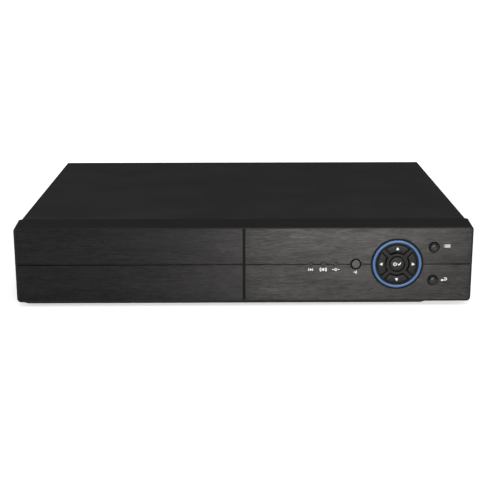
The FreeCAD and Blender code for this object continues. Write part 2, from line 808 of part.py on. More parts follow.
def arrow_key(label, turn):
    """One of the four direction keys: a sector of a ring, with a flange behind the web and a stem."""
    body = new_body(label)
    front = face_y - dim.key_proud
    back = face_y + dim.key_cap
    root = math.sqrt(2)
    far = dim.arrow_key_outer * 2

    def sector(level, gap, inner, outer, thickness):
        point = gap * root
        pad(body, Outline(body, "XZ", level).polygon([(0, point), (far, far + point), (-far, far + point)]),
            thickness)
        trim = Outline(body, "XZ", level)
        trim.circle((0, 0), far * 2).circle((0, 0), outer)
        pocket(body, trim, thickness)
        pocket(body, Outline(body, "XZ", level).circle((0, 0), inner), thickness)

    sector(front, dim.arrow_key_gap, dim.arrow_key_inner, dim.arrow_key_outer, back - front)
    dress(body, "Fillet", 0.5, lambda e: runs_along(e, "y"))
    dress(body, "Fillet", dim.key_round, lambda e: near(middle(e).y, front))
    flange = Outline(body, "XZ", back).rounded((-4.6, 4.6), (7.5, 12.2), 1.0)
    pad(body, flange, dim.key_flange)
    key_stem(body, (0, dim.arrow_switch), back + dim.key_flange)
    return at_dpad(body, turn)


def key_stem(body, centre, start):
    """The stem that reaches from a key to its switch's plunger."""
    pad(body, Outline(body, "XZ", start - 0.2).circle(centre, dim.stem_radius),
        board_front_y - dim.switch_height - plunger_proud() - start + 0.2)


def plunger_proud():
    return dim.plunger_length / 2


def ok_key():
    """The round key in the middle of the pad, with a flange behind the web and a stem."""
    body = new_body("key_ok")
    front = face_y - dim.key_proud
    back = face_y + dim.key_cap
    pad(body, Outline(body, "XZ", front).circle((0, 0), dim.ok_radius), back - front)
    dress(body, "Fillet", dim.key_round * 1.4, lambda e: near(middle(e).y, front))
    pad(body, Outline(body, "XZ", back).circle((0, 0), dim.web_inner + 0.9), dim.key_flange)
    key_stem(body, (0, 0), back + dim.key_flange)
    return at_dpad(body)


def side_key(label, side):
    """A round domed key beside the pad: menu above, escape below."""
    body = new_body(label)
    front = face_y - dim.side_key_proud
    radius = dim.side_key_radius
    pad(body, Outline(body, "XZ", front).circle((0, 0), radius), side_key_floor - front)
    dress(body, "Fillet", radius * 0.62, lambda e: near(middle(e).y, front))
    pad(body, Outline(body, "XZ", side_key_floor).circle((0, 0), radius + 1.1), dim.key_flange)
    key_stem(body, (0, 0), side_key_floor + dim.key_flange)
    return place(body, dim.side_key_x, 0, groove_z + dim.side_key_rise * side)


def key_places():
    """Where each key presses, in the front's plane."""
    x, reach = dim.dpad_side, dim.arrow_switch
    return {
        "up": (x, groove_z + reach),
        "down": (x, groove_z - reach),
        "left": (x - reach, groove_z),
        "right": (x + reach, groove_z),
        "ok": (x, groove_z),
        "menu": (dim.side_key_x, groove_z + dim.side_key_rise),
        "esc": (dim.side_key_x, groove_z - dim.side_key_rise),
    }


def switches():
    """Seven tactile switches: square bodies on the board, and plungers that slide in them."""
    half = dim.switch_side / 2
    front = board_front_y - dim.switch_height
    bodies = []
    for name, (x, z) in key_places().items():
        block = box((x - half, x + half), (front, board_front_y), (z - half, z + half))
        well = rod("y", (x, z), (front - 1, front + plunger_proud() + dim.key_travel + 0.5),
                   dim.plunger_radius + 0.05)
        bodies.append(cut(block, well))
        plunger = rod("y", (x, z), (front - plunger_proud(), front + plunger_proud()), dim.plunger_radius)
        keep(plunger, f"plunger_{name}")
    keep(group(*bodies), "switch_bodies")


def window_and_lights():
    """Remote-control window and receiver, status light pipes, and the lamps on the front board."""
    body = new_body("ir_window")
    front = face_y - dim.window_proud
    pad(body, Outline(body, "XZ", front).circle((0, 0), dim.window_radius), wall_in_y + 0.1 - front)
    dress(body, "Fillet", 1.2, lambda e: near(middle(e).y, front))
    pad(body, Outline(body, "XZ", wall_in_y + 0.1).circle((0, 0), dim.window_radius + 1), 0.9)
    place(body, dim.window_x, 0, groove_z)

    lens = doc.addObject("Part::Sphere", "Lens")
    bind(lens, "Radius", 2.1)
    place(lens, dim.window_x, board_front_y - 3.6, groove_z)
    block = box((dim.window_x - 2.8, dim.window_x + 2.8), (board_front_y - 4, board_front_y),
                (groove_z - 3.4, groove_z + 3.4))
    keep(fuse(block, lens), "ir_receiver")

    body = new_body("status_light_pipes")
    half = Outline(body, "XY").polygon([
        (0, face_y - 0.15), (dim.pipe_radius - 0.35, face_y - 0.15), (dim.pipe_radius, face_y + 0.2),
        (dim.pipe_radius, board_front_y - 1.1), (0, board_front_y - 1.1)])
    row(body, [revolve(body, half, "Y")], "X", dim.pipe_pitch, 3)
    place(body, dim.pipe_first, 0, groove_z)

    body = new_body("front_board_leds")
    front = board_front_y - dim.led_height
    half_width, half_height = dim.led_width / 2, dim.led_depth / 2
    lamp = Outline(body, "XZ", front).rectangle(
        (-half_width, half_width), (ring_middle - half_height, ring_middle + half_height))
    ring(body, [pad(body, lamp, dim.led_height)], "Y", LAMPS_IN_RING)
    first = dim.pipe_first - dim.dpad_side
    status = Outline(body, "XZ", front).rectangle(
        (first - half_width, first + half_width), (-half_height, half_height))
    row(body, [pad(body, status, dim.led_height)], "X", dim.pipe_pitch, 3)
    at_dpad(body)


def front_board():
    body = new_body("front_board")
    across = (dim.front_board_left, dim.front_board_right)
    heights = (groove_z - dim.front_board_half, groove_z + dim.front_board_half)
    pad(body, Outline(body, "XZ", board_front_y).rounded(across, heights, 1.5), dim.board_thick)
    holes = Outline(body, "XZ", board_front_y)
    for x, z in front_board_holes():
        holes.circle((x, z), dim.screw_hole + 0.1)
    pocket(body, holes, dim.board_thick)


# ---- Main board ----


def main_board():
    """Main circuit board, notched round the fan, on six threaded standoffs."""
    body = new_body("main_board")
    half, front = dim.main_board_half, dim.main_board_front
    step, back = dim.main_board_step, dim.main_board_back
    notch = dim.fan_size / 2 + 2
    pad(body, Outline(body, "XY", board_low_z).polygon([
        (-half, front), (half, front), (half, back), (dim.fan_side + notch, back),
        (dim.fan_side + notch, step), (dim.fan_side - notch, step),
        (dim.fan_side - notch, back), (-half, back)]), dim.board_thick)
    dress(body, "Fillet", 1.5, lambda e: runs_along(e, "z"))
    holes = Outline(body, "XY", board_low_z)
    for spot in STANDOFFS:
        holes.circle(spot, dim.screw_hole + 0.1)
    pocket(body, holes, dim.board_thick)

    post = new_body()
    hexagon = [(dim.standoff_radius * math.cos(math.radians(60 * n)),
                dim.standoff_radius * math.sin(math.radians(60 * n))) for n in range(6)]
    pad(post, Outline(post, "XY").polygon(hexagon), dim.standoff_height)
    pocket(post, Outline(post, "XY").circle((0, 0), dim.screw_hole), dim.standoff_height)
    keep(group(*[copy_of(post, x, y, floor_z) for x, y in STANDOFFS]), "board_standoffs")


def on_board(x, y, width, depth, height, lift=0):
    """A box standing on the main board, given by its middle."""
    return box((x - width / 2, x + width / 2), (y - depth / 2, y + depth / 2),
               (board_z + lift, board_z + lift + height))


def board_parts():
    """Chips, heat sink, coils, capacitors and the clock's cell."""
    sink_width, sink_front, sink_back = (-36, -4), 46, 78
    keep(group(*[on_board(*chip) for chip in CHIPS.values()]), "board_chips")

    sink = new_body("heat_sink")
    low = board_z + CHIPS["processor"][4]
    pad(sink, Outline(sink, "XY", low).rectangle(sink_width, (sink_front, sink_back)), 2.5)
    fin = Outline(sink, "XY", low + 2.4).rectangle(
        (sink_width[0], sink_width[0] + 1.2), (sink_front, sink_back))
    row(sink, [pad(sink, fin, 9)], "X", 3.85, 9)

    can = new_body()
    pad(can, Outline(can, "XY").circle((0, 0), 3.4), 8.5)
    dress(can, "Fillet", 0.5, lambda e: near(middle(e).z, 8.5))
    keep(group(*[copy_of(can, x, 60, board_z) for x in (90, 99, 108, 117)]), "capacitors")
    coil = new_body()
    pad(coil, Outline(coil, "XY").rounded((-4.6, 4.6), (-4.6, 4.6), 1.6), 4.6)
    keep(group(*[copy_of(coil, x, 76, board_z) for x in (93, 105, 117)]), "inductors")

    cell = new_body("coin_cell")
    pad(cell, Outline(cell, "XY").circle((0, 0), 10), 3.2)
    dress(cell, "Fillet", 0.5, lambda e: e.Curve.TypeId == "Part::GeomCircle")
    place(cell, 30, 62, board_z + 0.4)


def headers_and_plugs():
    """Sockets on the boards, and the plugs on the internal cables that sit on them."""
    sockets = [on_board(52, 42, 17, 6, 8), on_board(75, 42, 12, 6, 8), on_board(100, 42, 20, 6, 8),
               on_board(79, 72, 6, 5, 6),
               box((90, 110), (board_back_y, board_back_y + 5), (groove_z - 3.5, groove_z + 3.5))]
    keep(group(*sockets), "board_headers")
    plugs = [on_board(52, 42, 15, 9, 7, 8), on_board(75, 42, 10, 9, 7, 8), on_board(100, 42, 18, 9, 7, 8),
             on_board(79, 72, 5, 4.4, 4, 6),
             box((91, 109), (board_back_y + 5, board_back_y + 9), (groove_z - 3, groove_z + 3)),
             box((drive_right, drive_right + 12), (dim.drive_front + 32, dim.drive_front + 44), (8, 13.5)),
             box((drive_right, drive_right + 12), (dim.drive_front + 6, dim.drive_front + 29), (8, 13.5))]
    keep(group(*plugs), "cable_plugs")


def soft_path(points):
    """A wire of straight runs joined by tangent arcs, each as large as its two runs allow."""
    spots = [V(*p) for p in points]
    edges = []
    radii = []
    start = spots[0]
    for before, here, after in zip(spots, spots[1:], spots[2:]):
        way_in = (here - before).normalize()
        way_out = (after - here).normalize()
        half = way_in.getAngle(way_out) / 2
        radii.append(RUN_SHARE * min((here - before).Length, (after - here).Length) / math.tan(half))
        reach = radii[-1] * math.tan(half)
        bow = (way_out - way_in).normalize() * radii[-1] * (1 / math.cos(half) - 1)
        inner, outer = here - way_in * reach, here + way_out * reach
        edges.append(Part.LineSegment(start, inner).toShape())
        edges.append(Part.Arc(inner, here + bow, outer).toShape())
        start = outer
    edges.append(Part.LineSegment(start, spots[-1]).toShape())
    print("bend radii", [round(radius, 1) for radius in radii])
    return Part.Wire(edges)


def swept(path, profile):
    """A closed solid along a path, whose volume has to be its section times its length."""
    solid = path.makePipeShell([profile], True, True)
    expected = Part.Face(profile).Area * path.Length
    if abs(solid.Volume / expected - 1) > 0.01:
        raise RuntimeError(f"a swept lead has volume {solid.Volume:.0f}, not {expected:.0f}")
    return solid


def cables():
    """Internal cables along their routes: drive data, drive power, fan lead, and the front ribbon."""
    face = board_z.value + 11.5
    header = 42 - 4.5
    plug = drive_right.value + 12
    data, power = dim.drive_front.value + 38, dim.drive_front.value + 17.5
    fan_front = rear_in_y.value - dim.fan_thick.value
    routes = [
        (1.9, [(plug, data, 10.8), (38, data, 10.8), (52, data + 26, 13), (52, 8, face), (52, header, face)]),
        (2.4, [(plug, power, 10.8), (52, power, 10.8), (75, power + 30, 13), (75, 6, face),
               (75, header, face)]),
        (0.9, [(82, fan_front, 40), (82, fan_front - 9, 40), (79, 80, 37), (79, 72, 30),
               (79, 72, board_z.value + 10)]),
    ]
    leads = []
    for radius, points in routes:
        path = soft_path(points)
        way = (V(*points[1]) - V(*points[0])).normalize()
        leads.append(swept(path, Part.Wire(Part.makeCircle(radius, V(*points[0]), way))))
    wires = doc.addObject("Part::Feature", "WireLeads")
    wires.Shape = Part.makeCompound(leads)
    keep(wires, "wire_leads")

    start = board_back_y.value + 9
    level = groove_z.value
    half_width, half_thick = 8, 0.5
    route = soft_path([(100, start, level), (100, start + 14, level), (100, start + 32, 8), (100, 4, 8),
                       (100, 20, face), (100, header, face)])
    corners = [(-half_width, -half_thick), (half_width, -half_thick), (half_width, half_thick),
               (-half_width, half_thick), (-half_width, -half_thick)]
    ribbon = doc.addObject("Part::Feature", "Ribbon")
    ribbon.Shape = swept(route, Part.makePolygon([V(100 + x, start, level + z) for x, z in corners]))
    keep(ribbon, "ribbon_cable")


# ---- Rear sockets ----


def bnc_sockets():
    """Eight camera inputs and one monitor output: bayonet shells, insulators, contacts, housings."""
    shell = new_body()
    flange_y = rear_y + 1.4
    neck_end = tip_y - dim.bnc_barrel_length
    revolve(shell, Outline(shell, "XY").polygon([
        (2.45, rear_in_y - 8), (5.0, rear_in_y - 8), (5.0, behind_wall_y), (dim.bnc_flange, behind_wall_y),
        (dim.bnc_flange, flange_y), (dim.bnc_neck, flange_y), (dim.bnc_neck, neck_end),
        (dim.bnc_barrel, neck_end), (dim.bnc_barrel, tip_y), (dim.bnc_bore, tip_y),
        (dim.bnc_bore, rear_y + 3), (2.45, rear_y + 3)]), "Y")
    for start in (-dim.bnc_lug, dim.bnc_lug - 1.2):
        pad(shell, Outline(shell, "YZ", start).circle((tip_y - 5.6, 0), 1.0), 1.2)

    core = new_body()
    revolve(core, Outline(core, "XY").polygon([
        (1.1, rear_in_y - 8), (2.4, rear_in_y - 8), (2.4, tip_y - 3.2), (1.1, tip_y - 3.2)]), "Y")
    contact = new_body()
    revolve(contact, Outline(contact, "XY").polygon([
        (0, rear_in_y - 10), (1.05, rear_in_y - 10), (1.05, tip_y - 3.6), (0.5, tip_y - 3.6),
        (0.5, tip_y - 8), (0, tip_y - 8)]), "Y")
    for master, label in ((shell, "bnc_shells"), (core, "bnc_insulators"), (contact, "bnc_contacts")):
        keep(group(*[copy_of(master, x, 0, z) for x, z in bnc_places]), label)

    body = new_body("bnc_housing")
    front = behind_wall_y - 20
    blocks = Outline(body, "XZ", front)
    blocks.rectangle((bnc_columns[0] - 8, bnc_columns[-1] + 8), (board_z, bnc_high + 8))
    blocks.rectangle((dim.bnc_out - 8, dim.bnc_out + 8), (board_z, dim.bnc_low + 8))
    pad(body, blocks, behind_wall_y - front)
    bores = Outline(body, "XZ", rear_in_y - 11)
    for x, z in bnc_places:
        bores.circle((x, z), 5.05)
    pocket(body, bores, 12)


def rca_sockets():
    """Audio input and output, one above the other: metal sleeves round plastic cores."""
    places = [(dim.rca_side, dim.rca_low + dim.rca_pitch * n) for n in range(2)]
    sleeve = new_body()
    bore = dim.rca_sleeve - 0.5
    revolve(sleeve, Outline(sleeve, "XY").polygon([
        (bore, rear_in_y - 4), (dim.rca_sleeve, rear_in_y - 4), (dim.rca_sleeve, behind_wall_y),
        (5.2, behind_wall_y), (5.2, rear_y + 0.8), (dim.rca_sleeve, rear_y + 0.8),
        (dim.rca_sleeve, tip_y - 2), (bore, tip_y - 2)]), "Y")
    keep(group(*[copy_of(sleeve, x, 0, z) for x, z in places]), "rca_sleeves")

    body = new_body("rca_housing")
    front = behind_wall_y - 14
    pad(body, Outline(body, "XZ", front).rectangle(
        (dim.rca_side - 6, dim.rca_side + 6), (board_z, dim.rca_low + dim.rca_pitch + 7)),
        behind_wall_y - front)
    wells = Outline(body, "XZ", rear_in_y - 5)
    cores = Outline(body, "XZ", rear_in_y - 6)
    holes = Outline(body, "XZ", rear_in_y - 3)
    for spot in places:
        wells.circle(spot, dim.rca_sleeve + 0.05)
        cores.circle(spot, bore - 0.05)
        holes.circle(spot, 1.6)
    pocket(body, wells, 6)
    pad(body, cores, tip_y - 3 - rear_in_y + 6)
    pocket(body, holes, dim.socket_reach + 3)


def d_outline(outline, width, height, slant, side, level):
    """The D shape of a video socket, wider at the top."""
    half = width / 2
    return outline.polygon([
        (side - half + slant, level - height / 2), (side + half - slant, level - height / 2),
        (side + half, level + height / 2), (side - half, level + height / 2)])


def vga_socket():
    """Monitor socket: a metal D shell, a blue insert with fifteen holes, and two screw locks."""
    level = board_z + 6.3
    body = new_body("vga_shell")
    plate = Outline(body, "XZ", behind_wall_y - 0.8)
    plate.rounded((dim.vga_side - 15.4, dim.vga_side + 15.4), (board_z, board_z + 12.4), 1.5)
    pad(body, plate, 0.8)
    pad(body, d_outline(Outline(body, "XZ", behind_wall_y - 0.5), 16.9, 8.3, 1.4, dim.vga_side, level), 6.3)
    dress(body, "Fillet", 1.2, lambda e: runs_along(e, "y") and middle(e).y > rear_in_y.value)
    bore = d_outline(Outline(body, "XZ", behind_wall_y - 1), 15.9, 7.3, 1.4, dim.vga_side, level)
    pocket(body, bore, 8)
    locks = Outline(body, "XZ", behind_wall_y - 1)
    for side in (-1, 1):
        locks.circle((dim.vga_side + dim.vga_lock_pitch / 2 * side, level), 1.7)
    pocket(body, locks, 2)

    body = new_body("vga_insert")
    pad(body, d_outline(Outline(body, "XZ", behind_wall_y - 6), 15.7, 7.1, 1.4, dim.vga_side, level), 11.2)
    pin = Outline(body, "XZ", behind_wall_y).circle((dim.vga_side - 4.6, level - 2), 0.45)
    across = pocket(body, pin, 6)
    rows = row(body, [across], "X", 2.3, 5)
    rows.Direction2 = origin_axis(body, "Z")
    rows.Length2 = 4.0
    rows.Occurrences2 = 3
    heel = Outline(body, "XZ", behind_wall_y - 12).rectangle(
        (dim.vga_side - 10.5, dim.vga_side + 10.5), (board_z, board_z + 11))
    pad(body, heel, 11)

    lock = new_body()
    hexagon = [(2.75 * math.cos(math.radians(60 * n)), 2.75 * math.sin(math.radians(60 * n)))
               for n in range(6)]
    pad(lock, Outline(lock, "XZ", rear_y).polygon(hexagon), 5)
    pad(lock, Outline(lock, "XZ", rear_in_y - 2).circle((0, 0), 1.6), 4)
    pocket(lock, Outline(lock, "XZ", rear_in_y - 2).circle((0, 0), dim.vga_lock_bore), 10)
    spots = [dim.vga_side + dim.vga_lock_pitch / 2 * side for side in (-1, 1)]
    keep(group(*[copy_of(lock, x, 0, level) for x in spots]), "vga_screwlocks")


def small_sockets():
    """HDMI, double USB, network and power sockets, each standing on the board."""
    x, low = dim.hdmi_side, board_z
    body = new_body("hdmi_socket")
    front, lip = behind_wall_y - 11, rear_y + 0.6
    pad(body, Outline(body, "XZ", front).polygon([
        (x - 7.5, low + 2), (x - 5.8, low), (x + 5.8, low), (x + 7.5, low + 2),
        (x + 7.5, low + 6), (x - 7.5, low + 6)]), lip - front)
    mouth = Outline(body, "XZ", front + 2)
    mouth.polygon([(x - 7, low + 2.2), (x - 5.5, low + 0.5), (x + 5.5, low + 0.5), (x + 7, low + 2.2),
                   (x + 7, low + 5.5), (x - 7, low + 5.5)])
    mouth.rectangle((x - 5.6, x + 5.6), (low + 3.1, low + 4.4))
    pocket(body, mouth, 14)

    x = dim.usb_side
    body = new_body("usb_socket")
    front = behind_wall_y - 17
    pad(body, Outline(body, "XZ", front).rounded((x - 7.25, x + 7.25), (low, low + 15.7), 0.6), lip - front)
    for level in (low + 0.9, low + 9.0):
        mouth = Outline(body, "XZ", front + 7)
        mouth.rectangle((x - 6.3, x + 6.3), (level, level + 5.4))
        mouth.rectangle((x - 5.6, x + 5.6), (level + 2.4, level + 4.3))
        pocket(body, mouth, 14)

    x = dim.lan_side
    body = new_body("lan_socket")
    front = behind_wall_y - 20
    pad(body, Outline(body, "XZ", front).rounded((x - 8, x + 8), (low, low + 13.6), 0.5), lip - front)
    mouth = Outline(body, "XZ", behind_wall_y - 11.5)
    mouth.polygon([(x - 5.9, low + 3.6), (x - 3, low + 3.6), (x - 3, low + 2), (x + 3, low + 2),
                   (x + 3, low + 3.6), (x + 5.9, low + 3.6), (x + 5.9, low + 11.2), (x - 5.9, low + 11.2)])
    pocket(body, mouth, 16)

    x, level = dim.dc_side, board_z + 6.5
    body = new_body("dc_jack_body")
    front = behind_wall_y - 13
    pad(body, Outline(body, "XZ", front).rectangle((x - 4.6, x + 4.6), (low, low + 11)),
        behind_wall_y - front)
    pad(body, Outline(body, "XZ", behind_wall_y - 0.2).circle((x, level), 4.5), 1.9)
    pocket(body, Outline(body, "XZ", front + 2.5).circle((x, level), dim.dc_bore), 14)
    keep(rod("y", (x, level), (front + 2.5, rear_y - 0.8), dim.dc_pin), "dc_jack_pin")


# ---- Fan ----


def fan():
    """Cooling fan on the rear wall: a frame with its motor on struts, and a seven-bladed rotor."""
    back = rear_in_y
    front = back - dim.fan_thick
    half = dim.fan_size / 2
    body = new_body("fan_frame")
    pad(body, Outline(body, "XZ", front).rounded((-half, half), (-half, half), 2.5), dim.fan_thick)
    bore = Outline(body, "XZ", front).circle((0, 0), dim.fan_bore)
    reach = dim.fan_screw_pitch / 2
    for i in (-1, 1):
        for j in (-1, 1):
            bore.circle((reach * i, reach * j), dim.screw_hole)
    pocket(body, bore, dim.fan_thick)
    strut = Outline(body, "XZ", front, turn=45).rectangle((-1.2, 1.2), (9, dim.fan_bore + 0.6))
    struts = pad(body, strut, 1.4)
    ring(body, [struts], "Y", 4)
    pad(body, Outline(body, "XZ", front).circle((0, 0), 11), 1.4)
    pad(body, Outline(body, "XZ", front + 1.2).circle((0, 0), 8.6), 4.8)
    pad(body, Outline(body, "XZ", front + 1.2).circle((0, 0), 2.6), 6)
    pocket(body, Outline(body, "XZ", front + 1).circle((0, 0), 1.05), 8)
    place(body, dim.fan_side, 0, dim.fan_height)

    rotor = new_body("fan_rotor")
    hub_front, hub_back = front + 1.9, back - 0.8
    revolve(rotor, Outline(rotor, "XY").polygon([
        (0, front + 1.4), (1.0, front + 1.4), (1.0, hub_back - 1.2), (dim.rotor_hub - 1.2, hub_back - 1.2),
        (dim.rotor_hub - 1.2, hub_front), (dim.rotor_hub, hub_front), (dim.rotor_hub, hub_back),
        (0, hub_back)]), "Y")
    dress(rotor, "Fillet", 0.8,
          lambda e: near(middle(e).y, hub_back) and e.Curve.TypeId == "Part::GeomCircle")
    blade = Outline(rotor, "XY", dim.rotor_hub - 0.6).polygon([
        (-3.4, hub_front + 0.2), (-2.4, hub_front + 0.2), (3.4, hub_back - 0.4), (2.4, hub_back - 0.4)])
    ring(rotor, [pad(rotor, blade, dim.rotor_tip - dim.rotor_hub + 0.6)], "Y", dim.blade_count)
    place(rotor, dim.fan_side, 0, dim.fan_height)


# ---- Drive ----


def hard_drive():
    """Sealed 3.5-inch drive: aluminium casting and steel lid."""
    body = new_body("hdd_casting")
    across = (dim.drive_left, drive_right)
    depth = (dim.drive_front, drive_back)
    lid = 2.0
    pad(body, Outline(body, "XY", drive_low_z).rounded(across, depth, 2), dim.drive_height - lid)
    dress(body, "Chamfer", 1.0, lambda e: near(middle(e).z, drive_low_z + dim.drive_height - lid))
    relief = Outline(body, "XY", drive_low_z).rounded(
        (dim.drive_left + 40, drive_right - 38), (dim.drive_front + 14, drive_back - 14), 6)
    pocket(body, relief, 3)
    threads = Outline(body, "XY", drive_low_z)
    for x, y in DRIVE_HOLES:
        threads.circle((dim.drive_left + x, dim.drive_front + y), dim.screw_hole)
    pocket(body, threads, 4)
    bay = Outline(body, "XY", drive_low_z + 8).rounded(
        (dim.drive_left + 7, drive_right - 17), (dim.drive_front + 7, drive_back - 7), 8)
    pocket(body, bay, dim.drive_height)

    cover = new_body("hdd_lid")
    low = drive_low_z + dim.drive_height - lid
    pad(cover, Outline(cover, "XY", low).rounded(
        (dim.drive_left + 3, drive_right - 12), (dim.drive_front + 2.5, drive_back - 2.5), 5), 1.2)
    pad(cover, Outline(cover, "XY", low + 1.0).circle(
        (dim.drive_left + 52, (dim.drive_front + drive_back) / 2), 44), 1.0)


# ---- Screws ----


def screws():
    """One M3 pan-head screw, repeated wherever the case, boards, fan and drive are fastened."""
    rim_height = dim.head_height * 0.55
    head = rod("z", (0, 0), (0, rim_height), dim.head_radius)
    crown = doc.addObject("Part::Cone", "Crown")
    bind(crown, "Radius1", dim.head_radius)
    bind(crown, "Radius2", dim.head_radius * 0.72)
    bind(crown, "Height", dim.head_height - rim_height)
    place(crown, 0, 0, rim_height)
    shank = rod("z", (0, 0), (-dim.screw_length, 0), dim.screw_radius)
    wide, long = dim.recess_width / 2, dim.recess_length / 2
    deep = (dim.head_height - dim.recess_depth, dim.head_height + 1)
    recess = [box((-wide, wide), (-long, long), deep), box((-long, long), (-wide, wide), deep)]
    master = cut(fuse(head, crown, shank), *recess)

    turns = {
        "left": FreeCAD.Rotation(V(0, 0, 1), V(-1, 0, 0)),
        "right": FreeCAD.Rotation(V(0, 0, 1), V(1, 0, 0)),
        "back": FreeCAD.Rotation(V(0, 0, 1), V(0, 1, 0)),
        "up": FreeCAD.Rotation(),
        "down": FreeCAD.Rotation(V(1, 0, 0), 180),
    }
    case = []
    for y in (-dim.cover_screw_front, dim.cover_screw_rear):
        for way, x in (("left", -cover_half), ("right", cover_half)):
            case.append((way, x, y, base_z + dim.cover_screw_height))
    flange_back = rear_y + dim.fit_gap + dim.sheet
    case += [("back", x, flange_back, rear_screw_z) for x in (-dim.rear_screw_side, 0, dim.rear_screw_side)]
    for x in (-dim.boss_side, dim.boss_side):
        for rise in (dim.boss_low, dim.boss_high):
            case.append(("back", x, tray_front_y + dim.sheet, base_z + rise))
    case += [("back", x, rear_y, z) for x, z in fan_corners()]
    boards = [("up", x, y, board_z) for x, y in STANDOFFS]
    boards += [("back", x, board_back_y, z) for x, z in front_board_holes()]
    drive = [("down", dim.drive_left + x, dim.drive_front + y, base_z) for x, y in DRIVE_HOLES]
    for label, spots in (("case_screws", case), ("board_screws", boards), ("hdd_screws", drive)):
        keep(group(*[copy_of(master, x, y, z, turns[way]) for way, x, y, z in spots]), label)


def build():
    chassis_tray()
    top_cover()
    rubber_feet()
    front_bezel()
    fascia("fascia_left", left=True)
    fascia("fascia_right", left=False)
    dpad_frame()
    light_ring()
    for name, turn in (("up", 0), ("right", 90), ("down", 180), ("left", 270)):
        arrow_key(f"key_{name}", turn)
    ok_key()
    side_key("key_menu", 1)
    side_key("key_esc", -1)
    switches()
    window_and_lights()
    front_board()
    main_board()
    board_parts()
    headers_and_plugs()
    cables()
    bnc_sockets()
    rca_sockets()
    vga_socket()
    small_sockets()
    fan()
    hard_drive()
    screws()
    doc.recompute()


def check():
    """Stops the build on a failed object, a cut that removed nothing, or a sub-part that isn't sound."""
    for thing in doc.Objects:
        if {"Invalid", "Error"} & set(thing.State):
            raise RuntimeError(f"{thing.Name} ({thing.Label}) failed: {thing.State}")
    for made, base in CUTS:
        if not made.Shape.Volume < base.Shape.Volume - 1e-6:
            raise RuntimeError(f"{made.Name} removed nothing")
    for part in SUB_PARTS:
        if part.Shape.isNull() or not part.Shape.isValid() or not part.Shape.Solids:
            raise RuntimeError(f"{part.Label} has no valid solid")


def write():
    os.makedirs("parts", exist_ok=True)
    for part in SUB_PARTS:
        part.Shape.exportStep(os.path.join("parts", f"{part.Label}.step"))
    print(len(SUB_PARTS), "sub-parts,", sum(len(p.Shape.Solids) for p in SUB_PARTS), "solids")


build()
check()
write()
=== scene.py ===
"""The looks of a desktop video recorder: its finishes, its finely made pieces, and the studio it stands in.

Every object is in metres, in the recorder's own frame: +X to the right seen from the front, +Y to the back
and +Z up. Sizes that are easier to read in millimetres are multiplied by MM.
"""

import logging
import math
import random
from collections.abc import Iterable, Sequence
from dataclasses import dataclass
from enum import Enum
from functools import cache

import bmesh
import bpy
from mathutils import Matrix, Vector


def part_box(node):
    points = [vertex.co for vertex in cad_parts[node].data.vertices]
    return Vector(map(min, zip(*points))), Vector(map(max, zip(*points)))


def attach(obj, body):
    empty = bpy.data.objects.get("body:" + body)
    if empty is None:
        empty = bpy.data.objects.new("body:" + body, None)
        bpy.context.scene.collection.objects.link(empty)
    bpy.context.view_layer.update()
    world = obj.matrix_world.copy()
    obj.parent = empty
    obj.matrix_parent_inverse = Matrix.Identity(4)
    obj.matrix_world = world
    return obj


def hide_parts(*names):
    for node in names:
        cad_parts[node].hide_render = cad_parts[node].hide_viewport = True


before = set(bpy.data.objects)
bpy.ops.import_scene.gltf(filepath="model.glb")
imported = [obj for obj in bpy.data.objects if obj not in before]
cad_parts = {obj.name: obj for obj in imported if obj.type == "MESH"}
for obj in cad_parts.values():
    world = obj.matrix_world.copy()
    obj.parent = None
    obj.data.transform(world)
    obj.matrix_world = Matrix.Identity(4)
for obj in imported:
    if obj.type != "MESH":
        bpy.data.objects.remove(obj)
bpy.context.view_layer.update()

MM = 0.001
ROOT = "recorder"
LOG = logging.getLogger("recorder")

Triple = tuple[float, float, float]
Colour = Triple
Point = tuple[float, float]
Outline = list[Point]

# Turns a piece drawn flat, with its face towards local +Z, to face the front or the back of the recorder.
TO_FRONT = Matrix(((1, 0, 0, 0), (0, 0, -1, 0), (0, 1, 0, 0), (0, 0, 0, 1)))
TO_BACK = Matrix(((-1, 0, 0, 0), (0, 0, 1, 0), (0, 1, 0, 0), (0, 0, 0, 1)))


# ---- Paint: node trees written as expressions ----


class Field:
    """One output of a material's nodes, with the arithmetic of a number that changes over a surface."""

    def __init__(self, paint: "Paint", output: bpy.types.NodeSocket) -> None:
        """Wraps an output socket."""
        self.paint = paint
        self.output = output

    def _math(self, operation: str, first: "Field | float", second: "Field | float") -> "Field":
        """Adds one Math node."""
        return self.paint.node("ShaderNodeMath", {"operation": operation}, {0: first, 1: second})

    def __add__(self, other: "Field | float") -> "Field":
        """The sum of two numbers."""
        return self._math("ADD", self, other)

    def __sub__(self, other: "Field | float") -> "Field":
        """The difference of two numbers."""
        return self._math("SUBTRACT", self, other)

    def __rsub__(self, other: float) -> "Field":
        """A plain number less this one."""
        return self._math("SUBTRACT", other, self)

    def __mul__(self, other: "Field | float") -> "Field":
        """The product of two numbers."""
        return self._math("MULTIPLY", self, other)

    def __pow__(self, other: float) -> "Field":
        """This number to a power."""
        return self._math("POWER", self, other)

    def __gt__(self, other: "Field | float") -> "Field":
        """1 where this number is the larger, and 0 elsewhere."""
        return self._math("GREATER_THAN", self, other)

    def __lt__(self, other: "Field | float") -> "Field":
        """1 where this number is the smaller, and 0 elsewhere."""
        return self._math("LESS_THAN", self, other)

    def __abs__(self) -> "Field":
        """The number without its sign."""
        return self._math("ABSOLUTE", self, 0.0)

    def wrapped(self, span: float) -> "Field":
        """The number's remainder within a span that repeats, from 0 to the span."""
        return self._math("FLOORED_MODULO", self, span)

    def eased(self, low: float, high: float) -> "Field":
        """A smooth step from 0, where the number is at low, to 1, where it is at high."""
        return self.paint.node("ShaderNodeMapRange", {"interpolation_type": "SMOOTHSTEP"},
                               {"Value": self, "From Min": low, "From Max": high})


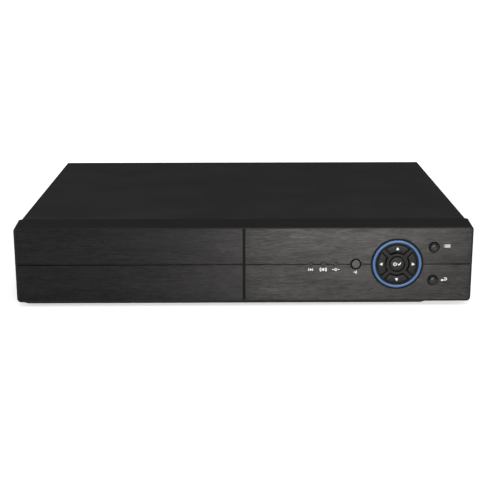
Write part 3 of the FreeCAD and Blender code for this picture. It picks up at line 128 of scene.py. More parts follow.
class Paint:
    """A material being made: one Principled shader and the nodes that feed it."""

    def __init__(self, name: str) -> None:
        """Makes an empty material.

        Args:
            name: The material's name.
        """
        self.material = bpy.data.materials.new(name)
        self.material.use_nodes = True
        self._tree = self.material.node_tree
        self._shader = self._tree.nodes["Principled BSDF"]

    def node(self, kind: str, settings: dict | None = None, values: dict | None = None,
             output: int | str = 0) -> Field:
        """Adds one node.

        Args:
            kind: The node's type.
            settings: The node's own properties, set first.
            values: What goes into each input socket, by name or number: a value or a Field.
            output: The output that is wanted.

        Returns:
            The output.
        """
        made = self._tree.nodes.new(kind)
        for key, value in (settings or {}).items():
            setattr(made, key, value)
        for key, value in (values or {}).items():
            self._feed(made.inputs[key], value)
        return Field(self, made.outputs[output])

    def _feed(self, socket: bpy.types.NodeSocket, value: object) -> None:
        """Links a Field to a socket, or sets the socket's own value.

        Args:
            socket: The input socket.
            value: The Field, or a number, colour or vector.
        """
        if isinstance(value, Field):
            self._tree.links.new(value.output, socket)
        elif socket.type == "RGBA" and len(value) == 3:
            socket.default_value = (*value, 1.0)
        else:
            socket.default_value = value

    def set(self, values: dict[str, object]) -> None:
        """Sets the shader's inputs, by name."""
        for key, value in values.items():
            self._feed(self._shader.inputs[key], value)

    def where(self, stretch: Triple = (1, 1, 1)) -> Field:
        """The place on the object in millimetres, as a vector.

        Args:
            stretch: How many times denser a pattern laid on it is along each axis.

        Returns:
            The vector.
        """
        place = self.node("ShaderNodeTexCoord", output="Object")
        factors = [s / MM for s in stretch]
        return self.node("ShaderNodeVectorMath", {"operation": "MULTIPLY"}, {0: place, 1: factors})

    def along(self, letter: str) -> Field:
        """The place along one axis, in millimetres."""
        return self.node("ShaderNodeSeparateXYZ", None, {0: self.where()}, output=letter)

    def reach(self, node: str) -> Field:
        """The distance in millimetres from the middle of a CAD node, seen from the front.

        Args:
            node: The node's name.

        Returns:
            The distance.
        """
        low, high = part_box(node)
        middle = (low + high) / 2 / MM
        flat = self.node("ShaderNodeVectorMath", {"operation": "MULTIPLY"}, {0: self.where(), 1: (1, 0, 1)})
        return self.node("ShaderNodeVectorMath", {"operation": "DISTANCE"},
                         {0: flat, 1: (middle.x, 0, middle.z)}, output="Value")

    def noise(self, size: float, stretch: Triple = (1, 1, 1), detail: float = 3.0, harsh: float = 0.5,
              bend: float = 0.0) -> Field:
        """Cloudy noise from 0 to 1.

        Args:
            size: The size of its blobs in millimetres.
            stretch: How many times denser it is along each axis.
            detail: How many finer layers it has.
            harsh: How strong the finer layers are.
            bend: How far the pattern is bent by itself.

        Returns:
            The noise.
        """
        return self.node("ShaderNodeTexNoise", None,
                         {"Vector": self.where(stretch), "Scale": 1 / size, "Detail": detail,
                          "Roughness": harsh, "Distortion": bend}, output="Fac")

    def cells(self, size: float, stretch: Triple = (1, 1, 1)) -> Field:
        """The distance to the nearest of many scattered points, from 0 at each to about 1."""
        return self.node("ShaderNodeTexVoronoi", None, {"Vector": self.where(stretch), "Scale": 1 / size})

    def mix(self, share: Field | float, first: Field | Colour, second: Field | Colour) -> Field:
        """A colour between two.

        Args:
            share: 0 for the first colour, 1 for the second.
            first: The first colour.
            second: The second colour.

        Returns:
            The mixed colour.
        """
        return self.node("ShaderNodeMix", {"data_type": "RGBA"}, {0: share, 6: first, 7: second}, output=2)

    def relief(self, height: Field, depth: float) -> Field:
        """A normal bent by a height.

        Args:
            height: The height, from 0 to 1.
            depth: How deep the relief is, in millimetres.

        Returns:
            The normal.
        """
        return self.node("ShaderNodeBump", None, {"Strength": 1.0, "Distance": depth * MM, "Height": height})


# ---- Finishes ----


def grey(level: float) -> Colour:
    """A colour without a hue, as linear light."""
    return level, level, level


@dataclass(frozen=True)
class Finish:
    """What all finishes share.

    Attributes:
        slot: The material slot of the record that it belongs to. It is not used.
        colour: Its main colour, as linear light.
        roughness: How matte it is.
    """

    slot: str
    colour: Colour
    roughness: float

    def shade(self, factor: float) -> Colour:
        """The main colour, lighter or darker by a factor."""
        return tuple(c * factor for c in self.colour)

    def build(self, paint: Paint) -> None:
        """Feeds a paint's shader."""
        raise NotImplementedError


@dataclass(frozen=True)
class PowderCoat(Finish):
    """Baked powder paint on sheet steel: a fine orange-peel skin with a little settled dust.

    Attributes:
        grain: The size of the orange peel, in millimetres.
        specular: How strongly it reflects.
    """

    grain: float = 0.55
    specular: float = 0.3

    def build(self, paint: Paint) -> None:
        """Feeds the paint's shader.

        Args:
            paint: The paint.
        """
        peel = paint.noise(self.grain, detail=2) * 0.7 + paint.noise(self.grain * 3.2, detail=1) * 0.3
        handled = paint.noise(46, detail=3, harsh=0.6)
        dust = (paint.cells(5.5) < 0.045) * (paint.noise(30) > 0.52)
        tone = paint.mix(handled.eased(0.3, 0.75), self.shade(0.88), self.shade(1.14))
        paint.set({
            "Base Color": paint.mix(dust * 0.5, tone, self.shade(3.5)),
            "Roughness": handled * 0.16 + peel * 0.08 + (self.roughness - 0.12),
            "Normal": paint.relief(peel, 0.045),
            "Specular IOR Level": self.specular,
        })


@dataclass(frozen=True)
class Moulded(Finish):
    """Injection-moulded plastic or rubber, with the fine spark-eroded texture of its mould.

    Attributes:
        grain: The size of the texture's grains, in millimetres.
        depth: How deep the texture is, in millimetres.
        specular: How strongly it reflects.
    """

    grain: float = 0.22
    depth: float = 0.012
    specular: float = 0.45

    def build(self, paint: Paint) -> None:
        """Feeds the paint's shader.

        Args:
            paint: The paint.
        """
        texture = paint.noise(self.grain, detail=2, harsh=0.7)
        flow = paint.noise(22, detail=2, bend=1.2)
        paint.set({
            "Base Color": paint.mix(flow.eased(0.25, 0.8), self.shade(0.9), self.shade(1.12)),
            "Roughness": flow * 0.08 + texture * 0.06 + (self.roughness - 0.07),
            "Normal": paint.relief(texture, self.depth),
            "Specular IOR Level": self.specular,
        })


@dataclass(frozen=True)
class Polished(Finish):
    """Glossy plastic: smooth, with faint rubbed marks under a clear skin.

    Attributes:
        coat: How strong the clear skin is.
    """

    coat: float = 0.5

    def build(self, paint: Paint) -> None:
        """Feeds the paint's shader.

        Args:
            paint: The paint.
        """
        rubbed = paint.noise(3.0, stretch=(1, 1, 3), detail=4, harsh=0.7)
        paint.set({
            "Base Color": paint.mix(rubbed, self.shade(0.9), self.shade(1.15)),
            "Roughness": rubbed.eased(0.4, 0.8) * 0.08 + self.roughness,
            "Normal": paint.relief(paint.noise(7, detail=1), 0.02),
            "Coat Weight": self.coat,
            "Coat Roughness": 0.04,
            "Specular IOR Level": 0.15,
        })


@dataclass(frozen=True)
class BrushedPlate(Finish):
    """Dark anodised plate, brushed along its length in long, slightly wavy strokes.

    Attributes:
        contrast: How much lighter and darker than the main colour the strokes are.
    """

    contrast: float = 0.34

    def build(self, paint: Paint) -> None:
        """Feeds the paint's shader.

        Args:
            paint: The paint.
        """
        strokes = paint.noise(5.0, stretch=(0.5, 1, 4.6), detail=4, harsh=0.62, bend=1.8)
        hairs = paint.noise(1.5, stretch=(0.18, 1, 5), detail=3, harsh=0.7, bend=0.4)
        bands = paint.noise(26, stretch=(0.35, 1, 2.2), detail=2, bend=0.6)
        grain = strokes * 0.52 + hairs * 0.3 + bands * 0.18
        worn = paint.mix(grain.eased(0.3, 0.7), self.shade(1 - self.contrast), self.shade(1 + self.contrast))
        paint.set({
            "Base Color": worn,
            "Metallic": 1.0,
            "Roughness": (1 - grain) * 0.2 + (self.roughness - 0.1),
            "Normal": paint.relief(strokes * 0.4 + hairs * 0.6, 0.05),
            "Anisotropic": 0.72,
            "Anisotropic Rotation": 0.25,
        })


@dataclass(frozen=True)
class BareMetal(Finish):
    """Plated, cast or rolled metal, with tarnish, fine scratches and a skin.

    Attributes:
        skin: How deep the skin's bumps are, in millimetres.
        skin_grain: The size of the bumps, in millimetres.
    """

    skin: float = 0.006
    skin_grain: float = 0.6

    def build(self, paint: Paint) -> None:
        """Feeds the paint's shader.

        Args:
            paint: The paint.
        """
        tarnish = paint.noise(9, detail=4, harsh=0.62)
        scratches = paint.noise(0.9, stretch=(0.12, 1, 2.5), detail=3, harsh=0.75)
        skin = paint.noise(self.skin_grain, detail=3, harsh=0.6)
        paint.set({
            "Base Color": paint.mix(tarnish.eased(0.35, 0.8), self.colour, self.shade(0.72)),
            "Metallic": 1.0,
            "Roughness": tarnish * 0.16 + scratches * 0.1 + (self.roughness - 0.1),
            "Normal": paint.relief(skin, self.skin),
        })


@dataclass(frozen=True)
class DarkLens(Finish):
    """Smoky clear plastic with a paler middle, ringed by black painted shade where the groove round it is in
    shadow.

    Attributes:
        node: The CAD node that it covers.
        clear: The radius of the paler middle, in millimetres.
        blend: The width over which it passes into the rim, in millimetres.
    """

    node: str = "ir_window"
    clear: float = 2.3
    blend: float = 0.45

    def build(self, paint: Paint) -> None:
        """Feeds the paint's shader.

        Args:
            paint: The paint.
        """
        haze = paint.noise(1.6, detail=2)
        # Painted shade: black beyond the clear middle, where the groove round the window is in shadow.
        rim = paint.reach(self.node).eased(self.clear, self.clear + self.blend)
        middle = paint.mix(haze, self.shade(0.85), self.shade(1.15))
        paint.set({
            "Base Color": paint.mix(rim, middle, grey(0.002)),
            "Roughness": haze * 0.1 + self.roughness,
            "Coat Weight": (1 - rim) * 0.2,
            "Coat Roughness": 0.06,
            "Specular IOR Level": 0.12,
        })


@dataclass(frozen=True)
class LightGuide(Finish):
    """Tinted clear plastic lit from behind by a few lamps; a ring's middle band has a painted highlight.

    Attributes:
        glow: How brightly it shines.
        coat: How glossy its skin is.
        ring: The CAD node of a ring of it, or nothing for a plain guide.
        lamps: How many lamps stand behind the ring.
        width: The ring's width, in millimetres.
    """

    glow: float = 0.2
    coat: float = 0.6
    ring: str = ""
    lamps: int = 8
    width: float = 2.7

    def build(self, paint: Paint) -> None:
        """Feeds the paint's shader.

        Args:
            paint: The paint.
        """
        haze = paint.noise(2.4, detail=2)
        tone = paint.mix(haze, self.shade(0.85), self.shade(1.2))
        light = haze * 0.35 + 0.65
        if self.ring:
            low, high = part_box(self.ring)
            outer, middle = (high.x - low.x) / 2 / MM, (low + high) / 2 / MM
            turn = paint.node("ShaderNodeMath", {"operation": "ARCTAN2"},
                              {0: paint.along("Z") - middle.z, 1: paint.along("X") - middle.x})
            pools = paint.node("ShaderNodeMath", {"operation": "COSINE"}, {0: turn * float(self.lamps)})
            # Painted highlight and shade: the ring's middle band is brighter in colour and glow, and its
            # edges are darker.
            aside = abs(paint.reach(self.ring) - (outer - self.width / 2)) * (2 / self.width)
            core = 1 - aside.eased(0.2, 0.95)
            light = light * (pools * 0.12 + 0.88) * core
            tone = paint.mix(core, self.shade(0.1), tone)
        paint.set({
            "Base Color": tone,
            "Roughness": haze * 0.1 + self.roughness,
            "Coat Weight": self.coat,
            "Coat Roughness": 0.08,
            "Specular IOR Level": 0.2,
            "Emission Color": paint.mix(light, self.shade(0.02), self.shade(1.6)),
            "Emission Strength": self.glow,
        })


@dataclass(frozen=True)
class Ink(Finish):
    """Screen-printed ink, a little uneven and porous."""

    def build(self, paint: Paint) -> None:
        """Feeds the paint's shader.

        Args:
            paint: The paint.
        """
        pores = paint.noise(0.35, detail=3, harsh=0.7)
        paint.set({
            "Base Color": paint.mix(pores.eased(0.35, 0.8), self.colour, self.shade(0.82)),
            "Roughness": pores * 0.2 + self.roughness,
            "Normal": paint.relief(pores, 0.01),
        })


@dataclass(frozen=True)
class Laminate(Finish):
    """A circuit board: solder mask over copper tracks that run both ways, with plated holes.

    Attributes:
        copper: The colour of the plating round the holes.
        pitches: From one track to the next along X and along Y, in millimetres.
        hole: The share of a cell that a hole takes.
    """

    copper: Colour = (0.55, 0.34, 0.12)
    pitches: Point = (1.27, 1.0)
    hole: float = 0.045

    def build(self, paint: Paint) -> None:
        """Feeds the paint's shader.

        Args:
            paint: The paint.
        """
        blocks = paint.cells(11)
        ways = []
        for letter, pitch in zip("XY", self.pitches):
            wander = paint.noise(7, detail=1).eased(0.35, 0.65) * 1.6
            ways.append(abs((paint.along(letter) + wander).wrapped(pitch) - pitch / 2) < 0.17)
        side = blocks > 0.42
        tracks = ways[0] * side + ways[1] * (1 - side)
        tracks = tracks * (paint.noise(14, detail=2) > 0.44)
        holes = paint.cells(4.2)
        mask = paint.mix(tracks, self.colour, self.shade(1.7))
        plated = (holes < 2 * self.hole) * (holes > self.hole)
        paint.set({
            "Base Color": paint.mix(plated, paint.mix(holes < self.hole, mask, grey(0.01)), self.copper),
            "Metallic": plated,
            "Roughness": paint.noise(3) * 0.12 + self.roughness,
            "Normal": paint.relief(tracks, 0.05),
        })


@dataclass(frozen=True)
class Striped(Finish):
    """Flat ribbon cable: ridges along its length, painted shade in the creases between them, and one
    coloured edge.

    Attributes:
        edge: The colour of the first wire.
        pitch: From one wire to the next, in millimetres.
    """

    edge: Colour = (0.5, 0.03, 0.02)
    pitch: float = 1.0

    def build(self, paint: Paint) -> None:
        """Feeds the paint's shader.

        Args:
            paint: The paint.
        """
        across = paint.along("X")
        ridge = abs(across.wrapped(self.pitch) - self.pitch / 2) * (2 / self.pitch)
        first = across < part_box("ribbon_cable")[0].x / MM + self.pitch
        # Painted shade: the colour darkens towards the creases between the wires.
        tone = paint.mix(ridge ** 2, self.colour, self.shade(0.6))
        paint.set({
            "Base Color": paint.mix(first, tone, self.edge),
            "Roughness": paint.noise(4) * 0.1 + self.roughness,
            "Normal": paint.relief(1 - ridge ** 2, 0.3),
        })


class Stuff(Enum):
    """Every finish on the recorder."""

    COVER_PAINT = PowderCoat("case_paint", (0.021, 0.021, 0.0217), 0.62, specular=0.05)
    TRAY_PAINT = PowderCoat("zinc_sheet", (0.018, 0.018, 0.0185), 0.55, grain=0.45)
    BEZEL = Moulded("bezel_plastic", (0.0075, 0.0075, 0.0077), 0.44, specular=0.12)
    # Bezel black with its reflections dulled, for the strip of painted shade in the groove between the
    # plates.
    SEAM = Moulded("bezel_plastic", grey(0.0075), 0.6, specular=0.03)
    # The two plates are one finish. The left copy is darker with fainter grain: painted shade for the lesser
    # light on the left.
    RIGHT_PLATE = BrushedPlate("brushed_fascia", (0.0200, 0.0195, 0.0187), 0.39, contrast=0.6)
    LEFT_PLATE = BrushedPlate("brushed_fascia", (0.0187, 0.0181, 0.0178), 0.39, contrast=0.42)
    FEET = Moulded("foot_rubber", grey(0.02), 0.75, grain=0.4, depth=0.03)
    BLACK_SCREW = BareMetal("black_screw", (0.06, 0.06, 0.062), 0.38)
    BRIGHT_SCREW = BareMetal("bright_screw", (0.62, 0.62, 0.6), 0.3)
    PAD = Moulded("pad_plastic", (0.0085, 0.0083, 0.0070), 0.44, specular=0.1)
    PAD_WEB = Moulded("pad_plastic", (0.0062, 0.0064, 0.0056), 0.46, specular=0.1)
    RING = LightGuide("blue_guide", (0.026, 0.062, 0.14), 0.3, glow=0.42, coat=0.1, ring="light_ring")
    CLEAR = LightGuide("clear_guide", grey(0.012), 0.2, glow=0.0, coat=0.1)
    WINDOW = DarkLens("dark_window", (0.04, 0.039, 0.037), 0.3)
    GLOSS = Polished("key_gloss", grey(0.007), 0.26, coat=0.12)
    # A darker copy of the board finish: painted shade on the board that sits behind the front.
    FRONT_BOARD = Laminate("board_green", (0.003, 0.02, 0.01), 0.4)
    FRONT_LAMP = LightGuide("led_white", (0.28, 0.28, 0.25), 0.3, glow=0.05, coat=0.1)
    BOARD = Laminate("board_green", (0.012, 0.09, 0.045), 0.3)
    PACKAGE = Moulded("chip_black", (0.02, 0.02, 0.021), 0.5, grain=0.12)
    LAMP = LightGuide("led_white", (0.75, 0.75, 0.62), 0.2, glow=0.6)
    HEADER = Moulded("header_white", (0.72, 0.70, 0.62), 0.42)
    BRASS = BareMetal("brass_post", (0.62, 0.46, 0.2), 0.3)
    SINK = BareMetal("sink_aluminium", (0.1, 0.1, 0.105), 0.42, skin=0.01)
    SLEEVE = BareMetal("capacitor_sleeve", (0.62, 0.62, 0.64), 0.26)
    COIL = Moulded("coil_grey", (0.07, 0.07, 0.075), 0.7, grain=0.3, depth=0.03)
    CELL = BareMetal("cell_steel", (0.72, 0.72, 0.7), 0.2)
    RED_LEAD = Moulded("lead_red", (0.42, 0.02, 0.015), 0.42)
    RIBBON = Striped("lead_grey", (0.42, 0.42, 0.44), 0.4)
    NICKEL = BareMetal("socket_nickel", (0.72, 0.70, 0.66), 0.2)
    SOCKET_BLACK = Moulded("socket_black", grey(0.018), 0.45)
    CORE = Moulded("core_white", (0.78, 0.77, 0.72), 0.4)
    GOLD = BareMetal("contact_gold", (0.86, 0.6, 0.22), 0.22)
    BLUE_INSERT = Moulded("vga_blue", (0.02, 0.06, 0.34), 0.4)
    SOCKET_STEEL = BareMetal("socket_steel", (0.62, 0.62, 0.61), 0.28)
    FAN_PLASTIC = Moulded("fan_black", grey(0.016), 0.42)
    CASTING = BareMetal("drive_casting", (0.42, 0.42, 0.43), 0.45, skin=0.05, skin_grain=0.9)
    DRIVE_STEEL = BareMetal("drive_steel", (0.64, 0.64, 0.63), 0.3)
    INK = Ink("core_white", (0.55, 0.55, 0.53), 0.5)
    PAPER = Ink("core_white", (0.7, 0.7, 0.68), 0.55)


@cache
def material_of(stuff: Stuff) -> bpy.types.Material:
    """The material of a finish, made once.

    Args:
        stuff: The finish.

    Returns:
        The material.
    """
    paint = Paint(stuff.name.lower())
    stuff.value.build(paint)
    return paint.material


# ---- Making meshes ----


@dataclass(frozen=True)
class Block:
    """A box along the axes, in metres.

    Attributes:
        low: Its left, front, lower corner.
        high: Its right, back, upper corner.
    """

    low: Vector
    high: Vector

    @property
    def middle(self) -> Vector:
        """The centre of the box."""
        return (self.low + self.high) / 2

    @property
    def size(self) -> Vector:
        """The lengths of its sides."""
        return self.high - self.low


def block_of(node: str) -> Block:
    """The box round a CAD node."""
    return Block(*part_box(node))


def solids_of(node: str) -> list[Block]:
    """The box round each separate solid of a CAD node, from left to right, then front to back, then up.

    Args:
        node: The node's name.

    Returns:
        One box for each solid.
    """
    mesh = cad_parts[node].data
    leaders: dict[tuple, tuple] = {}

    def leader(key: tuple) -> tuple:
        """The key that stands for the group that a key is in.

        Args:
            key: The key.

        Returns:
            The group's key.
        """
        while leaders[key] != key:
            leaders[key] = leaders[leaders[key]]
            key = leaders[key]
        return key

    keys = [tuple(round(c, 6) for c in vertex.co) for vertex in mesh.vertices]
    for key in keys:
        leaders[key] = key
    for polygon in mesh.polygons:
        first, *rest = [leader(keys[v]) for v in polygon.vertices]
        for other in rest:
            leaders[leader(other)] = leader(first)
    groups: dict[tuple, list[tuple]] = {}
    for key in keys:
        groups.setdefault(leader(key), []).append(key)
    boxes = [Block(Vector(map(min, *spots)), Vector(map(max, *spots))) for spots in groups.values()]
    return sorted(boxes, key=lambda box: tuple(round(c, 4) for c in box.middle))


def new_object(name: str, mesh: bpy.types.Mesh, smooth_to: float = 35.0) -> bpy.types.Object:
    """Puts a mesh in the scene.

    Args:
        name: The object's name.
        mesh: Its mesh.
        smooth_to: The sharpest angle that is shaded smooth, in degrees.

    Returns:
        The object.
    """
    mesh.shade_smooth()
    mesh.set_sharp_from_angle(angle=math.radians(smooth_to))
    made = bpy.data.objects.new(name, mesh)
    bpy.context.scene.collection.objects.link(made)
    return made


def finish_mesh(name: str, work: bmesh.types.BMesh) -> bpy.types.Mesh:
    """Turns a shape that is being made into a mesh.

    Args:
        name: The mesh's name.
        work: The shape, which is freed.

    Returns:
        The mesh.
    """
    bmesh.ops.recalc_face_normals(work, faces=work.faces)
    mesh = bpy.data.meshes.new(name)
    work.to_mesh(mesh)
    work.free()
    return mesh


def add_turned(work: bmesh.types.BMesh, profile: Sequence[Point], place: Matrix, steps: int = 48) -> None:
    """Adds a turned solid.

    Args:
        work: The mesh to add to.
        profile: Its half section, as (radius, height) in metres. A radius of 0 closes an end.
        place: Where it goes. Its axis is local Z.
        steps: How many steps the turn has.
    """
    rows = []
    for radius, height in profile:
        ring = circle(radius, steps=steps) if radius > 0 else [(0, 0)]
        rows.append([work.verts.new(place @ Vector((*point, height))) for point in ring])
    add_rows(work, rows)


def add_rows(work: bmesh.types.BMesh, rows: Sequence[list[bmesh.types.BMVert]]) -> None:
    """Joins closed rows of vertices by faces.

    Args:
        work: The mesh that they are in.
        rows: The rows. A row of one vertex is a point.
    """
    for lower, upper in zip(rows, rows[1:]):
        count = max(len(lower), len(upper))
        if count == 1:
            continue
        for step in range(count):
            after = (step + 1) % count
            corners = [lower[step % len(lower)], lower[after % len(lower)],
                       upper[after % len(upper)], upper[step % len(upper)]]
            work.faces.new(list(dict.fromkeys(corners)))


def add_box(work: bmesh.types.BMesh, block: Block, round_by: float = 0.0, steps: int = 2) -> None:
    """Adds a box with rounded edges.

    Args:
        work: The mesh to add to.
        block: The box.
        round_by: The radius of its edges.
        steps: How many steps each rounding has.
    """
    place = Matrix.Translation(block.middle) @ Matrix.Diagonal((*block.size, 1.0))
    made = bmesh.ops.create_cube(work, size=1.0, matrix=place)
    if round_by:
        edges = {edge for vertex in made["verts"] for edge in vertex.link_edges}
        bmesh.ops.bevel(work, geom=list(edges), offset=round_by, segments=steps, affect="EDGES", profile=0.5)


def polar(radius: float, angle: float, centre: Point = (0.0, 0.0)) -> Point:
    """The point at a distance and an angle, in radians, from a centre."""
    return centre[0] + radius * math.cos(angle), centre[1] + radius * math.sin(angle)


def circle(radius: float, centre: Point = (0.0, 0.0), steps: int = 48) -> Outline:
    """A circle as an outline."""
    return [polar(radius, 2 * math.pi * step / steps, centre) for step in range(steps)]


def arc(radius: float, start: float, end: float, centre: Point = (0.0, 0.0), steps: int = 12) -> Outline:
    """The points along an arc, whose angles are in degrees."""
    return [polar(radius, math.radians(start + (end - start) * step / steps), centre)
            for step in range(steps + 1)]


def arc_band(radius: float, width: float, start: float, end: float, centre: Point = (0.0, 0.0)) -> Outline:
    """A stretch of a ring.

    Args:
        radius: The middle radius.
        width: The width of the band.
        start: The angle where it starts, in degrees.
        end: The angle where it ends, in degrees.
        centre: The ring's centre.

    Returns:
        Its outline.
    """
    outer = arc(radius + width / 2, start, end, centre, steps=24)
    inner = arc(radius - width / 2, start, end, centre, steps=24)
    return outer + inner[::-1]


def bar(centre: Point, width: float, height: float) -> Outline:
    """An upright rectangle as an outline."""
    corners = ((-1, -1), (1, -1), (1, 1), (-1, 1))
    return [(centre[0] + x * width / 2, centre[1] + y * height / 2) for x, y in corners]


def rounded_rectangle(width: float, height: float, radius: float, steps: int = 64) -> Outline:
    """A rectangle with round corners, as an outline of evenly spaced points.

    Args:
        width: Its width.
        height: Its height.
        radius: The radius of its corners.
        steps: How many points it has, a multiple of 4.

    Returns:
        The outline, anticlockwise from the middle of its right side.
    """
    flat_x, flat_y, arc = width / 2 - radius, height / 2 - radius, radius * math.pi / 2
    quarter = flat_x + flat_y + arc
    points = []
    for step in range(steps // 4):
        far = quarter * step * 4 / steps
        if far < flat_y:
            x, y = width / 2, far
        elif far < flat_y + arc:
            angle = (far - flat_y) / radius
            x, y = flat_x + radius * math.cos(angle), flat_y + radius * math.sin(angle)
        else:
            x, y = quarter - far, height / 2
        points.append((x, y))
    mirrored = [(-x, y) for x, y in reversed(points[1:])]
    upper = points + [(0, height / 2)] + mirrored + [(-width / 2, 0)]
    return upper + [(x, -y) for x, y in reversed(upper[1:-1])]


def turned_outline(outline: Outline, degrees: float) -> Outline:
    """An outline turned round the origin."""
    c, s = math.cos(math.radians(degrees)), math.sin(math.radians(degrees))
    return [(x * c - y * s, x * s + y * c) for x, y in outline]


def evaluated_mesh(thing: bpy.types.Object) -> bpy.types.Mesh:
    """The mesh of a curve or text.

    Args:
        thing: The curve or text, which is then removed.

    Returns:
        The mesh.
    """
    bpy.context.scene.collection.objects.link(thing)
    bpy.context.view_layer.update()
    mesh = bpy.data.meshes.new_from_object(thing.evaluated_get(bpy.context.evaluated_depsgraph_get()))
    bpy.data.objects.remove(thing)
    return mesh


def cut_out(name: str, outlines: Iterable[Outline], thickness: float, place: Matrix) -> bpy.types.Mesh:
    """A flat plate cut to outlines. An outline inside another is a hole.

    Args:
        name: The mesh's name.
        outlines: The outlines, in metres.
        thickness: The plate's thickness. It stands on the plane of its outlines.
        place: Where the plate goes.

    Returns:
        The mesh.
    """
    curve = bpy.data.curves.new(name, "CURVE")
    curve.dimensions = "2D"
    curve.fill_mode = "BOTH"
    curve.extrude = thickness / 2
    for outline in outlines:
        spline = curve.splines.new("POLY")
        spline.points.add(len(outline) - 1)
        for point, (x, y) in zip(spline.points, outline):
            point.co = (x, y, 0, 1)
        spline.use_cyclic_u = True
    mesh = evaluated_mesh(bpy.data.objects.new(name, curve))
    mesh.transform(place @ Matrix.Translation((0, 0, thickness / 2)))
    return mesh


# ---- Assemblies ----


class Assembly:
    """A part of the recorder that gives CAD nodes their finishes and adds pieces of its own."""

    def dress(self, stuff: Stuff, *nodes: str) -> None:
        """Gives CAD nodes a finish.

        Args:
            stuff: The finish.
            nodes: The nodes' names.
        """
        for node in nodes:
            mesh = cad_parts[node].data
            mesh.materials.clear()
            mesh.materials.append(material_of(stuff))
            LOG.info("dressed %s in %s", node, stuff.name)

    def add(self, name: str, shape: bmesh.types.BMesh | bpy.types.Mesh, stuff: Stuff, body: str = ROOT,
            replaces: Sequence[str] = (), smooth_to: float = 35.0) -> None:
        """Adds a piece.

        Args:
            name: The piece's name.
            shape: Its shape, in the recorder's frame.
            stuff: Its finish.
            body: The body that it moves with.
            replaces: The CAD nodes that it stands for.
            smooth_to: The sharpest angle that is shaded smooth, in degrees.
        """
        mesh = shape if isinstance(shape, bpy.types.Mesh) else finish_mesh(name, shape)
        piece = new_object(name, mesh, smooth_to)
        mesh.materials.clear()
        mesh.materials.append(material_of(stuff))
        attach(piece, body)
        if replaces:
            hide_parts(*replaces)
        LOG.info("added %s with %d faces", name, len(mesh.polygons))

    def make(self) -> None:
        """Dresses and builds everything in the assembly."""
        raise NotImplementedError


@dataclass(frozen=True)
class SoftBox:
    """A large soft light.

    Attributes:
        name: Its name.
        at: Where it stands, in metres.
        towards: What it shines at.
        size: Its width and height.
        power: Its power in watts.
    """

    name: str
    at: Triple
    towards: Triple
    size: Point
    power: float

    def add(self) -> None:
        """Puts the light in the scene, out of the camera's sight."""
        data = bpy.data.lights.new(self.name, "AREA")
        data.shape = "RECTANGLE"
        data.size, data.size_y = self.size
        data.energy = self.power
        lamp = bpy.data.objects.new(self.name, data)
        bpy.context.scene.collection.objects.link(lamp)
        lamp.location = self.at
        lamp.rotation_euler = (Vector(self.towards) - Vector(self.at)).to_track_quat("-Z", "Y").to_euler()
        lamp.visible_camera = False


SOFT_BOXES = (
    SoftBox("key_light", (0.75, -0.95, 1.05), towards=(0.05, -0.1, 0.0), size=(0.9, 0.7), power=5.0),
    SoftBox("top_light", (-0.1, 0.0, 1.6), towards=(0.0, 0.0, 0.0), size=(1.5, 1.5), power=13.0),
    SoftBox("left_light", (-1.3, -0.5, 0.8), towards=(-0.1, 0.0, 0.0), size=(0.8, 0.8), power=3.0),
    SoftBox("low_card", (0.12, -0.67, 0.105), towards=(0.06, -0.12, 0.03), size=(0.24, 0.14), power=3.6),
    SoftBox("left_rear_light", (-1.2, 0.85, 0.5), towards=(0.0, 0.12, 0.03), size=(0.6, 0.5), power=4.0),
    SoftBox("right_rear_light", (1.2, 0.85, 0.5), towards=(0.0, 0.12, 0.03), size=(0.6, 0.5), power=4.0),
)


